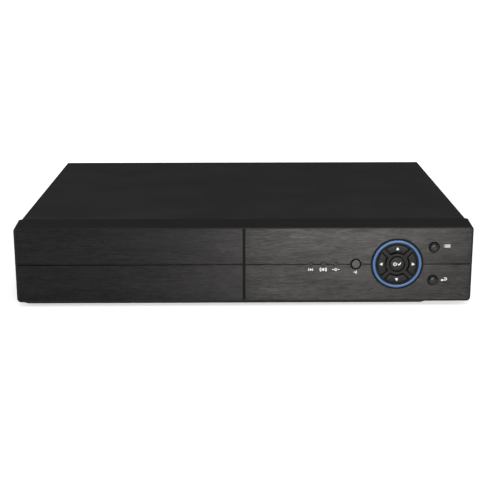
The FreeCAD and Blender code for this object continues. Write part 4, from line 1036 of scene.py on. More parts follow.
@dataclass
class Studio:
    """The floor, the surroundings and the camera.

    Attributes:
        lens: The focal length in millimetres.
        pitch: How far the camera looks down, in degrees.
        yaw: How far it is turned to the right, in degrees.
        roll: How far it is tilted, in degrees.
        distance: From the camera to what it aims at, in metres.
        aim: What it aims at, in millimetres.
        floor_half: Half the floor's width, in metres.
        fade: Where the floor's glow starts and stops growing, in millimetres from the middle.
        glow: How much the floor glows inside and outside the fade: less inside, as painted shade round the
            recorder.
        dim: How brightly the surroundings light the recorder.
        bright: How bright the surroundings look.
    """

    lens: float = 79.11
    pitch: float = 15.107
    yaw: float = 0.561
    roll: float = -0.053
    distance: float = 0.71118
    aim: Triple = (3.875, -119.0, 38.207)
    floor_half: float = 12.0
    fade: Point = (230, 520)
    glow: Point = (0.52, 0.95)
    dim: float = 0.1
    bright: float = 0.95

    def set_up(self) -> None:
        """Builds the whole studio."""
        self.add_camera()
        self.add_floor()
        self.add_world()
        for light in SOFT_BOXES:
            light.add()
        bpy.context.scene.view_settings.view_transform = "Standard"

    def add_camera(self) -> None:
        """Adds the camera and makes it the scene's."""
        yaw, pitch, roll = (math.radians(angle) for angle in (self.yaw, self.pitch, self.roll))
        level = Vector((math.cos(yaw), -math.sin(yaw), 0))
        forward = Vector((math.sin(yaw) * math.cos(pitch), math.cos(yaw) * math.cos(pitch),
                          -math.sin(pitch)))
        upright = level.cross(forward)
        right = level * math.cos(roll) + upright * math.sin(roll)
        up = upright * math.cos(roll) - level * math.sin(roll)
        data = bpy.data.cameras.new("camera")
        data.lens = self.lens
        camera = bpy.data.objects.new("camera", data)
        bpy.context.scene.collection.objects.link(camera)
        turn = Matrix((right, up, -forward)).transposed().to_4x4()
        camera.matrix_world = Matrix.Translation(Vector(self.aim) * MM - forward * self.distance) @ turn
        bpy.context.scene.camera = camera

    def add_floor(self) -> None:
        """Adds the pale floor, darker round the recorder as painted shade."""
        work = bmesh.new()
        bmesh.ops.create_grid(work, x_segments=2, y_segments=2, size=self.floor_half)
        floor = new_object("floor", finish_mesh("floor", work))
        paint = Paint("pale_floor")
        cloud = paint.noise(420, detail=2)
        away = paint.node("ShaderNodeVectorMath", {"operation": "LENGTH"}, {0: paint.where()},
                          output="Value")
        paint.set({
            "Base Color": paint.mix(cloud, grey(0.86), grey(0.9)),
            "Roughness": 0.6,
            "Specular IOR Level": 0.1,
            # Painted shade: the floor glows less near the recorder, so the floor round it is darker.
            "Emission Color": paint.mix(away.eased(*self.fade), *map(grey, self.glow)),
            "Emission Strength": 1.0,
        })
        floor.data.materials.append(paint.material)

    def add_world(self) -> None:
        """Makes the surroundings pale to the eye and dimmer as a light."""
        world = bpy.data.worlds.new("surroundings")
        world.use_nodes = True
        nodes, links = world.node_tree.nodes, world.node_tree.links
        back = nodes["Background"]
        back.inputs["Color"].default_value = (0.97, 0.98, 1.0, 1.0)
        ray = nodes.new("ShaderNodeLightPath")
        scale = nodes.new("ShaderNodeMapRange")
        scale.inputs["To Min"].default_value = self.dim
        scale.inputs["To Max"].default_value = self.bright
        links.new(ray.outputs["Is Camera Ray"], scale.inputs["Value"])
        links.new(scale.outputs["Result"], back.inputs["Strength"])
        bpy.context.scene.world = world


@dataclass(frozen=True)
class Printing:
    """How marks are printed on the recorder.

    Attributes:
        ink: The thickness of the ink.
        scale: How many times larger than its outlines a mark is.
    """

    ink: float = 0.04 * MM
    scale: float = 1.0

    def stamp(self, owner: Assembly, name: str, outlines: Iterable[Outline], spot: Vector, side: Matrix,
              body: str = ROOT, sink: float = 0.0) -> None:
        """Prints a mark.

        Args:
            owner: The assembly that the mark belongs to.
            name: The mark's name.
            outlines: Its outlines in millimetres, round its own middle.
            spot: Where its middle goes on the surface.
            side: TO_FRONT or TO_BACK.
            body: The body that it moves with.
            sink: How far it reaches into the surface.
        """
        size = self.scale * MM
        scaled = [[(x * size, y * size) for x, y in outline] for outline in outlines]
        place = Matrix.Translation(spot) @ side @ Matrix.Translation((0, 0, -sink))
        owner.add(name, cut_out(name, scaled, self.ink + sink, place), Stuff.INK, body)


# Marks, as outlines in millimetres round their own middle.
LIST_MARK = [shape for row in (-0.9, 0, 0.9)
             for shape in (bar((-2.3, row), 0.4, 0.4), bar((0.5, row), 4.4, 0.4))]
RETURN_MARK = [[(-2.6, -0.55), (-1.2, -1.55), (-1.2, -0.85), *arc(1.2, -90, 90, (1.3, 0.35)), (0.0, 1.55),
                (0.0, 0.95), *arc(0.6, 90, -90, (1.3, 0.35)), (-1.2, -0.25), (-1.2, 0.45)]]
REMOTE_MARK = [circle(0.42, (-1.2, 0), 20), arc_band(1.15, 0.42, -48, 48, (-1.2, 0)),
               arc_band(2.0, 0.42, -42, 42, (-1.2, 0))]
RECORD_MARK = [circle(0.8, steps=24), arc_band(1.75, 0.42, -42, 42), arc_band(1.75, 0.42, 138, 222)]
ALARM_MARK = [[(-1.05, -0.75), (-0.75, -0.35), *arc(0.75, 180, 0, (0, 0.3)), (0.75, -0.35), (1.05, -0.75)],
              circle(0.24, (0, -1.1), 12),
              *(arc_band(radius, 0.42, start, start + 80) for radius in (1.85, 2.65)
                for start in (-40, 140))]
POWER_MARK = [arc_band(0.95, 0.4, 122, 418), bar((0, 0.75), 0.4, 1.1), bar((-2.35, 0), 1.5, 0.42),
              bar((2.35, 0), 1.5, 0.42)]
CONFIRM_MARK = [circle(1.15, (-1.4, 0), 32), circle(0.68, (-1.4, 0), 32),
                [(0.15, 0.2), (0.55, 0.55), (1.15, -0.2), (2.15, 1.15), (2.6, 0.85), (1.15, -1.05)]]
ARROW_MARK = [(-1.05, -0.85), (1.05, -0.85), (0, 1.05)]
SCREEN_MARK = [bar((0, 0.35), 3.4, 2.3), bar((0, 0.35), 2.7, 1.6), bar((0, -1.25), 1.8, 0.4)]
NETWORK_MARK = [bar((0, 1.0), 1.1, 0.9), bar((-1.5, -1.0), 1.1, 0.9), bar((1.5, -1.0), 1.1, 0.9),
                bar((0, 0.0), 3.4, 0.3), bar((-1.5, -0.35), 0.3, 0.36), bar((1.5, -0.35), 0.3, 0.36),
                bar((0, 0.35), 0.3, 0.36)]
STORE_MARK = [bar((0, -0.2), 2.0, 1.9), bar((0, 1.2), 1.2, 0.7)]
IN_MARK, OUT_MARK = ([circle(1.3, steps=32), circle(1.0, steps=32), [(-0.6, tail), (0.6, tail), (0, tip)]]
                     for tail, tip in ((0.45, -0.6), (-0.45, 0.6)))


@dataclass
class Front(Assembly):
    """The moulded bezel, its two brushed plates, the window, the light guides and the printed marks.

    Attributes:
        list_offset: From the menu key's middle to its mark.
        return_offset: From the escape key's middle to its mark.
        mark_drop: How far below the lights their marks are.
        window_drop: How far below the window its mark is.
        seam_rise: How far the strip of painted groove shade stands out of its groove's floor.
        seam_gap: The strip's clearance from each plate.
        printing: How the marks are printed.
    """

    list_offset: Triple = (8.3 * MM, 0, 0.8 * MM)
    return_offset: Triple = (7.3 * MM, 0, 0.5 * MM)
    mark_drop: float = 3.6 * MM
    window_drop: float = 5.5 * MM
    seam_rise: float = 0.3 * MM
    seam_gap: float = 0.02 * MM
    printing: Printing = Printing(scale=0.8)

    def make(self) -> None:
        """Dresses and builds everything in the assembly."""
        self.dress(Stuff.BEZEL, "front_bezel")
        self.dress(Stuff.LEFT_PLATE, "fascia_left")
        self.dress(Stuff.RIGHT_PLATE, "fascia_right")
        self.dress(Stuff.WINDOW, "ir_window", "ir_receiver")
        self.dress(Stuff.CLEAR, "status_light_pipes")
        self.add_seam()
        window = block_of("ir_window").middle
        lights = [pipe.middle - Vector((0, 0, self.mark_drop)) for pipe in solids_of("status_light_pipes")]
        marks = {
            "list_mark": (LIST_MARK, block_of("key_menu").middle + Vector(self.list_offset)),
            "return_mark": (RETURN_MARK, block_of("key_esc").middle + Vector(self.return_offset)),
            "remote_mark": (REMOTE_MARK, window - Vector((0, 0, self.window_drop))),
            "record_mark": (RECORD_MARK, lights[0]),
            "alarm_mark": (ALARM_MARK, lights[1]),
            "power_mark": (POWER_MARK, lights[2]),
        }
        face = block_of("fascia_right").low.y
        for name, (outlines, spot) in marks.items():
            self.printing.stamp(self, name, outlines, Vector((spot.x, face, spot.z)), TO_FRONT)

    def add_seam(self) -> None:
        """Lays a matte black strip along the groove between the two plates, as painted shade in the groove.
        """
        left, right = block_of("fascia_left"), block_of("fascia_right")
        half = (right.low.x - left.high.x) / 2 - self.seam_gap
        angles = [math.pi * step / 12 for step in range(13)]
        work = bmesh.new()
        rows = [[work.verts.new((half * math.cos(a), left.high.y - self.seam_rise * math.sin(a), z))
                 for a in angles] for z in (left.low.z, left.high.z)]
        add_rows(work, rows)
        for row in rows:
            work.faces.new(row)
        # The strip's matte black is painted shade: it stands in for the shade in the groove.
        self.add("groove_shade_strip", work, Stuff.SEAM)


@dataclass
class DirectionPad(Assembly):
    """The pad's frame, its lit ring, and its four arrow keys round a middle key.

    Attributes:
        inner: The arrow keys' inner radius.
        outer: Their outer radius.
        gap: From a diagonal to their straight edges.
        corner: The radius of their corners.
        crown: How far a key's middle stands out beyond its rim.
        edge: The radius of the rounding round a key's face.
        ok_radius: The middle key's radius.
        mark_radius: From the pad's middle to the arrows.
        cap_share: The share of a key's depth that its cap takes.
        flange_share: The share of a key's depth that its flange takes.
        flange_half: Half the width of an arrow key's flange.
        flange_span: From the pad's middle to the near and far sides of an arrow key's flange.
        collar: The radius of the collar at the head of an arrow key's stem.
        stem: The radius of a key's stem.
        chamfer: The chamfer of the stem's tip.
        printing: How the marks are printed.
    """

    inner: float = 8.05 * MM
    outer: float = 12.65 * MM
    gap: float = 1.75 * MM
    corner: float = 0.6 * MM
    crown: float = 0.12 * MM
    edge: float = 0.4 * MM
    ok_radius: float = 4.65 * MM
    mark_radius: float = 10.4 * MM
    cap_share: float = 0.5
    flange_share: float = 0.1
    flange_half: float = 4.6 * MM
    flange_span: Point = (7.6 * MM, 12.1 * MM)
    collar: float = 2.2 * MM
    stem: float = 1.5 * MM
    chamfer: float = 0.1 * MM
    printing: Printing = Printing()

    def make(self) -> None:
        """Dresses and builds everything in the assembly."""
        self.dress(Stuff.PAD_WEB, "dpad_frame")
        self.dress(Stuff.RING, "light_ring")
        self.dress(Stuff.PACKAGE, *(f"plunger_{key}" for key in ("up", "down", "left", "right", "ok")))
        ring = block_of("light_ring").middle
        for quarter, key in enumerate(("right", "up", "left", "down")):
            node = block_of(f"key_{key}")
            turn = quarter * math.pi / 2
            place = Matrix.Translation((ring.x, node.low.y, ring.z)) @ TO_FRONT
            self.add(f"arrow_key_{key}", self.arrow_key(node, turn, place), Stuff.PAD, f"{key}_button",
                     [f"key_{key}"], smooth_to=50)
            x, z = polar(self.mark_radius, turn, (ring.x, ring.z))
            self.printing.stamp(self, f"arrow_mark_{key}", [turned_outline(ARROW_MARK, quarter * 90 - 90)],
                                Vector((x, node.low.y, z)), TO_FRONT, f"{key}_button", self.crown)
        node = block_of("key_ok")
        middle = Vector((ring.x, node.low.y, ring.z))
        self.add("middle_key", self.middle_key(node, Matrix.Translation(middle) @ TO_FRONT), Stuff.PAD,
                 "ok_button", ["key_ok"], smooth_to=50)
        self.printing.stamp(self, "confirm_mark", CONFIRM_MARK, middle, TO_FRONT, "ok_button", self.crown)

    def stem_profile(self, depth: float, collar: float) -> list[Point]:
        """The half section of a key's stem and flange, from the stem's tip to the back of the cap.

        Args:
            depth: The key's depth.
            collar: The radius of the flange.

        Returns:
            The half section.
        """
        cap, flange = depth * self.cap_share, depth * self.flange_share
        return [(0, -depth), (self.stem - self.chamfer, -depth), (self.stem, self.chamfer - depth),
                (self.stem, -cap - flange), (collar, -cap - flange), (collar, -cap)]

    def arrow_key(self, node: Block, turn: float, place: Matrix) -> bmesh.types.BMesh:
        """One arrow key: a crowned sector with rounded edges, a flange behind it and a stem.

        Args:
            node: The box of the CAD key.
            turn: The direction of the key, in radians from the right.
            place: Where the pad's middle is, on the key's front plane.

        Returns:
            The shape.
        """
        depth, crown, edge = node.size.y, self.crown, self.edge
        cap, flange = depth * self.cap_share, depth * self.flange_share
        near, far = self.flange_span
        work = bmesh.new()
        add_box(work, Block(Vector((-self.flange_half, near, -cap - flange)),
                            Vector((self.flange_half, far, -cap))), 0.25 * MM)
        work.transform(place @ Matrix.Rotation(turn - math.pi / 2, 4, "Z"))
        levels = [(0.0, -cap), (0.0, -crown - edge), (edge * 0.12, -crown - edge * 0.5),
                  (edge * 0.5, -crown - edge * 0.14), (edge * 1.1, -crown), (edge * 2.2, -crown * 0.55),
                  (edge * 3.6, -crown * 0.2), (edge * 5.2, 0.0)]
        rows = [[work.verts.new(place @ Vector((*point, height))) for point in self.sector(inset, turn)]
                for inset, height in levels]
        add_rows(work, rows)
        work.faces.new(rows[0])
        work.faces.new(rows[-1])
        spot = Matrix.Translation((*polar((self.inner + self.outer) / 2, turn), 0))
        add_turned(work, [*self.stem_profile(depth, self.collar), (0, -cap)], place @ spot, steps=32)
        return work

    def sector(self, inset: float, turn: float, steps: int = 96) -> Outline:
        """The outline of an arrow key's face, drawn in by a distance.

        Args:
            inset: How far it is drawn in.
            turn: The direction of the key, in radians.
            steps: How many points it has.

        Returns:
            The outline round the pad's middle.
        """
        middle, half = (self.inner + self.outer) / 2, (self.outer - self.inner) / 2 - inset
        wide = middle * (math.pi / 4) - self.gap - inset
        round_by = min(self.corner, half * 0.9)
        points = []
        for x, y in rounded_rectangle(2 * wide, 2 * half, round_by, steps):
            radius = middle + y
            reach = math.pi / 4 - math.asin((self.gap + inset) / radius)
            points.append(polar(radius, turn - reach * x / wide))
        return points

    def middle_key(self, node: Block, place: Matrix) -> bmesh.types.BMesh:
        """The round middle key, crowned, with its flange and stem.

        Args:
            node: The box of the CAD key.
            place: Where its front plane's middle is.

        Returns:
            The shape.
        """
        depth, crown, wide = node.size.y, self.crown, self.ok_radius
        rounding = [(wide - self.edge * (1 - math.cos(math.radians(a))),
                     -crown - self.edge * (1 - math.sin(math.radians(a)))) for a in range(0, 91, 15)]
        profile = [*self.stem_profile(depth, node.size.x / 2), (wide, -depth * self.cap_share), *rounding,
                   (wide * 0.7, -crown * 0.45), (wide * 0.4, -crown * 0.1), (0, 0)]
        work = bmesh.new()
        add_turned(work, profile, place, steps=72)
        return work


@dataclass
class SideKeys(Assembly):
    """The two glossy domed keys and their plungers."""

    def make(self) -> None:
        """Dresses and builds everything in the assembly."""
        self.dress(Stuff.GLOSS, "key_menu", "key_esc")
        self.dress(Stuff.PACKAGE, "plunger_menu", "plunger_esc")


@dataclass
class FrontBoard(Assembly):
    """The circuit board behind the front, with its switches, their legs and its lamps.

    Attributes:
        leg_inset: From a switch's lower and upper sides to the middles of its legs.
        leg: How far a leg reaches sideways, forwards, and up and down, in millimetres.
    """

    leg_inset: float = 1.2 * MM
    leg: Triple = (0.9, 0.35, 0.4)

    def make(self) -> None:
        """Dresses and builds everything in the assembly."""
        self.dress(Stuff.FRONT_BOARD, "front_board")
        self.dress(Stuff.FRONT_LAMP, "front_board_leds")
        self.dress(Stuff.PACKAGE, "switch_bodies")
        side, ahead, half = self.leg
        work = bmesh.new()
        for body in solids_of("switch_bodies"):
            for x in (body.low.x, body.high.x):
                for z in (body.low.z + self.leg_inset, body.high.z - self.leg_inset):
                    spot = Vector((x, body.high.y, z))
                    add_box(work, Block(spot - Vector((side, ahead, half)) * MM,
                                        spot + Vector((side, 0, half)) * MM), 0.1 * MM)
        self.add("switch_legs", work, Stuff.BRIGHT_SCREW)


@dataclass
class Case(Assembly):
    """The folded steel case, its screws and its rubber feet.

    Attributes:
        foot_ridge: How deep the rings in a foot's sole are.
    """

    foot_ridge: float = 0.35 * MM

    def make(self) -> None:
        """Dresses and builds everything in the assembly."""
        self.dress(Stuff.COVER_PAINT, "top_cover")
        self.dress(Stuff.TRAY_PAINT, "chassis_tray")
        self.dress(Stuff.BLACK_SCREW, "case_screws")
        work = bmesh.new()
        for foot in solids_of("rubber_feet"):
            base = Vector((foot.middle.x, foot.middle.y, foot.low.z))
            add_turned(work, self.foot_profile(foot), Matrix.Translation(base), steps=56)
        self.add("ridged_feet", work, Stuff.FEET, replaces=["rubber_feet"])

    def foot_profile(self, foot: Block) -> list[Point]:
        """The half section of a foot: a hollow sole with rings in it, and a rounded, tapered side.

        Args:
            foot: The box of the CAD foot.

        Returns:
            The half section.
        """
        wide, high = foot.size.x / 2, foot.size.z
        sole = wide - 1.0 * MM
        ridge = self.foot_ridge
        rings = [(sole * share, level) for share, level in (
            (0.3, high * 0.45), (0.34, high * 0.3), (0.55, high * 0.3), (0.58, ridge), (0.66, ridge),
            (0.68, 0), (0.76, 0), (0.78, ridge), (0.84, ridge), (0.86, 0), (0.93, 0))]
        return [(0, high * 0.45), *rings, (sole - 0.1 * MM, 0.15 * MM), (sole + 0.1 * MM, 0.5 * MM),
                (wide - 0.05 * MM, high - 0.25 * MM), (wide - 0.2 * MM, high), (0, high)]


def add_strip(work: bmesh.types.BMesh, start: Vector, end: Vector, width: float, thick: float) -> None:
    """Adds a flat straight strip.

    Args:
        work: The mesh to add to.
        start: The middle of one end.
        end: The middle of the other end.
        width: Its width, level.
        thick: Its thickness.
    """
    way = end - start
    turn = way.to_track_quat("Y", "Z").to_matrix().to_4x4()
    size = Matrix.Diagonal((width, way.length, thick, 1.0))
    bmesh.ops.create_cube(work, size=1.0, matrix=Matrix.Translation((start + end) / 2) @ turn @ size)


@dataclass
class Sockets(Assembly):
    """The sockets on the back, and the marks printed round them.

    Attributes:
        mark_rise: From a socket's top to the middle of its mark.
        mark_aside: From the left sound socket's side to the middle of its mark.
        row: How many camera inputs are in a row.
        inputs_end: The monitor output lies beyond this, seen from the front.
        digit_rise: From the middle of a camera input up to its number, in the upper row.
        digit_drop: From the middle of a camera input down to its number, in the lower row.
        digit_height: The height of the numbers.
        tongue_half: Half the width of a data socket's tongue.
        tongue_span: From a data socket's mouth to the tip and the root of its tongue.
        contact_inset: From the tongue's ends to those of its contacts.
        contact_thick: The thickness of the contacts.
        contact_share: The share of their pitch that the contacts take.
        network_pitch: From one contact of the network socket to the next.
        printing: How the marks are printed.
    """

    mark_rise: float = 2.6 * MM
    mark_aside: float = 2.4 * MM
    row: int = 4
    inputs_end: float = -60 * MM
    digit_rise: float = 8.0 * MM
    digit_drop: float = 10.0 * MM
    digit_height: float = 2.9 * MM
    tongue_half: float = 5.65 * MM
    tongue_span: Point = (0.6 * MM, 9.6 * MM)
    contact_inset: float = 0.5 * MM
    contact_thick: float = 0.14 * MM
    contact_share: float = 0.45
    network_pitch: float = 1.02 * MM
    printing: Printing = Printing()

    def make(self) -> None:
        """Dresses and builds everything in the assembly."""
        self.dress(Stuff.NICKEL, "bnc_shells", "rca_sleeves", "vga_screwlocks", "dc_jack_pin")
        self.dress(Stuff.CORE, "bnc_insulators", "rca_housing")
        self.dress(Stuff.GOLD, "bnc_contacts")
        self.dress(Stuff.SOCKET_BLACK, "bnc_housing", "dc_jack_body", "lan_socket")
        self.dress(Stuff.BLUE_INSERT, "vga_insert")
        self.dress(Stuff.SOCKET_STEEL, "vga_shell", "usb_socket", "hdmi_socket")
        self.add_contacts()
        self.print_marks()

    def add_contacts(self) -> None:
        """Adds the tongues and contacts of the data sockets, and the network socket's lamps."""
        tongues, contacts, lamps = bmesh.new(), bmesh.new(), bmesh.new()
        usb, hdmi, lan = (block_of(node) for node in ("usb_socket", "hdmi_socket", "lan_socket"))
        spans = [(usb, usb.low.z + (level + 2.35) * MM, 2.0 * MM, 4, 2.2 * MM) for level in (0.9, 9.0)]
        spans.append((hdmi, hdmi.low.z + 3.05 * MM, 1.4 * MM, 10, 0.95 * MM))
        for block, low, thick, count, pitch in spans:
            tip, root = (block.high.y - depth for depth in self.tongue_span)
            add_box(tongues, Block(Vector((block.middle.x - self.tongue_half, root, low)),
                                   Vector((block.middle.x + self.tongue_half, tip, low + thick))), 0.2 * MM)
            for number in range(count):
                x = block.middle.x + (number - (count - 1) / 2) * pitch
                start = Vector((x, root + self.contact_inset, low - 0.06 * MM))
                end = Vector((x, tip - self.contact_inset, low - 0.06 * MM))
                add_strip(contacts, start, end, pitch * self.contact_share, self.contact_thick)
        for number in range(8):
            x = lan.middle.x + (number - 3.5) * self.network_pitch
            add_strip(contacts, Vector((x, lan.high.y - 1.4 * MM, lan.low.z + 10.9 * MM)),
                      Vector((x, lan.high.y - 10.5 * MM, lan.low.z + 6.6 * MM)), 0.4 * MM, 0.3 * MM)
        for side in (-1, 1):
            spot = Vector((lan.middle.x + side * 5.6 * MM, lan.high.y, lan.low.z + 1.6 * MM))
            add_box(lamps, Block(spot - Vector((1.4, 0.8, 0.8)) * MM, spot + Vector((1.4, 0.12, 0.8)) * MM),
                    0.15 * MM)
        self.add("socket_tongues", tongues, Stuff.SOCKET_BLACK)
        self.add("socket_contacts", contacts, Stuff.GOLD)
        self.add("network_lamps", lamps, Stuff.LAMP)

    def print_marks(self) -> None:
        """Prints a number by each camera input and a mark by each other socket."""
        wall = block_of("chassis_tray").high.y
        inputs = sorted(solids_of("bnc_shells"),
                        key=lambda b: (b.middle.x > self.inputs_end, -b.middle.z, -b.middle.x))
        for number, shell in enumerate(inputs[:2 * self.row], 1):
            rise = self.digit_rise if number <= self.row else -self.digit_drop
            spot = Vector((shell.middle.x, wall, shell.middle.z + rise))
            self.add(f"input_number_{number}", self.digit(number, spot), Stuff.INK)
        left, right = solids_of("rca_sleeves")
        marks = {
            "video_out_mark": (SCREEN_MARK, inputs[2 * self.row]),
            "monitor_mark": (SCREEN_MARK, block_of("vga_shell")),
            "screen_mark": (SCREEN_MARK, block_of("hdmi_socket")),
            "store_mark": (STORE_MARK, block_of("usb_socket")),
            "network_mark": (NETWORK_MARK, block_of("lan_socket")),
            "supply_mark": (POWER_MARK[:2], block_of("dc_jack_body")),
            "sound_in_mark": (IN_MARK, left),
            "sound_out_mark": (OUT_MARK, right),
        }
        for name, (outlines, block) in marks.items():
            spot = Vector((block.middle.x, wall, block.high.z + self.mark_rise))
            if block is left:
                spot = Vector((block.low.x - self.mark_aside, wall, block.middle.z))
            self.printing.stamp(self, name, outlines, spot, TO_BACK)

    def digit(self, number: int, spot: Vector) -> bpy.types.Mesh:
        """A printed number.

        Args:
            number: The number.
            spot: Where its middle goes on the rear wall.

        Returns:
            The mesh.
        """
        data = bpy.data.curves.new(f"digit_{number}", "FONT")
        data.body = str(number)
        data.size = self.digit_height * 1.35
        data.align_x = "CENTER"
        data.align_y = "CENTER"
        half = self.printing.ink / 2
        data.extrude = half
        mesh = evaluated_mesh(bpy.data.objects.new(data.name, data))
        mesh.transform(Matrix.Translation(spot) @ TO_BACK @ Matrix.Translation((0, 0, half)))
        return mesh


@dataclass
class Fan(Assembly):
    """The cooling fan: its frame, and a rotor with twisted blades.

    Attributes:
        blades: How many blades it has.
        hub: The hub's radius.
        wall: The thickness of the hub's cup.
        tip: The radius of the blades' tips.
        thick: The thickness of a blade at its middle.
        sweep: How far a blade's tip leads its root, in radians.
        bury: How far a blade's root reaches into the hub.
        chord: Half a blade's chord at its root and at its tip.
        rise: Half the height of a blade's root and tip, as shares of the rotor's depth.
        bow: How far a blade is bowed.
    """

    blades: int = 7
    hub: float = 11.8 * MM
    wall: float = 1.2 * MM
    tip: float = 17.9 * MM
    thick: float = 0.9 * MM
    sweep: float = 0.32
    bury: float = 0.4 * MM
    chord: Point = (3.6 * MM, 5.1 * MM)
    rise: Point = (0.4, 0.33)
    bow: float = 0.5 * MM

    def make(self) -> None:
        """Dresses and builds everything in the assembly."""
        self.dress(Stuff.FAN_PLASTIC, "fan_frame")
        frame_box, rotor = block_of("fan_frame"), block_of("fan_rotor")
        axle = Vector((frame_box.middle.x, rotor.high.y, frame_box.middle.z))
        place = Matrix.Translation(axle) @ TO_FRONT
        depth, hub, wall, bearing = rotor.size.y, self.hub, self.wall, 1.0 * MM
        cup = depth - 0.5 * MM
        profile = [(0, 0.2 * MM), (8.2 * MM, 0.2 * MM), (8.4 * MM, 0), (hub - 0.9 * MM, 0),
                   (hub - 0.25 * MM, 0.25 * MM), (hub, 0.9 * MM), (hub, cup), (hub - wall, cup),
                   (hub - wall, wall), (bearing, wall), (bearing, depth), (0, depth)]
        work = bmesh.new()
        add_turned(work, profile, place, steps=72)
        for number in range(self.blades):
            self.add_blade(work, 2 * math.pi * number / self.blades, depth, place)
        self.add("twisted_rotor", work, Stuff.FAN_PLASTIC, "fan_wheel", ["fan_rotor"])

    def add_blade(self, work: bmesh.types.BMesh, turn: float, depth: float, place: Matrix) -> None:
        """Adds one blade, as sections that widen, flatten and sweep forward towards the tip.

        Args:
            work: The mesh to add to.
            turn: Its direction, in radians.
            depth: The rotor's depth.
            place: Where the rotor goes.
        """
        rows = []
        loop = [2 * math.pi * step / 20 for step in range(20)]
        for step in range(7):
            share = step / 6
            radius = self.hub - self.bury + share * (self.tip - self.hub + self.bury)
            chord, rise = (root + share * (tip - root) for root, tip in (self.chord, self.rise))
            slope = math.atan2(depth * rise, chord)
            row = []
            for angle in loop:
                along, side = math.cos(angle), math.sin(angle)
                half = self.thick / 2 * side * (1 - 0.4 * along)
                around = chord * along - half * math.sin(slope)
                lift = depth * rise * along + half * math.cos(slope) + self.bow * (1 - along * along)
                spot = polar(radius, turn + self.sweep * share + around / radius)
                row.append(work.verts.new(place @ Vector((*spot, depth * 0.47 + lift))))
            rows.append(row)
        add_rows(work, rows)
        work.faces.new(rows[0])
        work.faces.new(rows[-1])


ON_MAIN_BOARD = ("board_chips", "heat_sink", "capacitors", "inductors", "coin_cell", "board_headers",
                 "board_screws", "bnc_housing", "rca_housing", "vga_insert", "vga_shell", "hdmi_socket",
                 "usb_socket", "lan_socket", "dc_jack_body", "fan_frame")


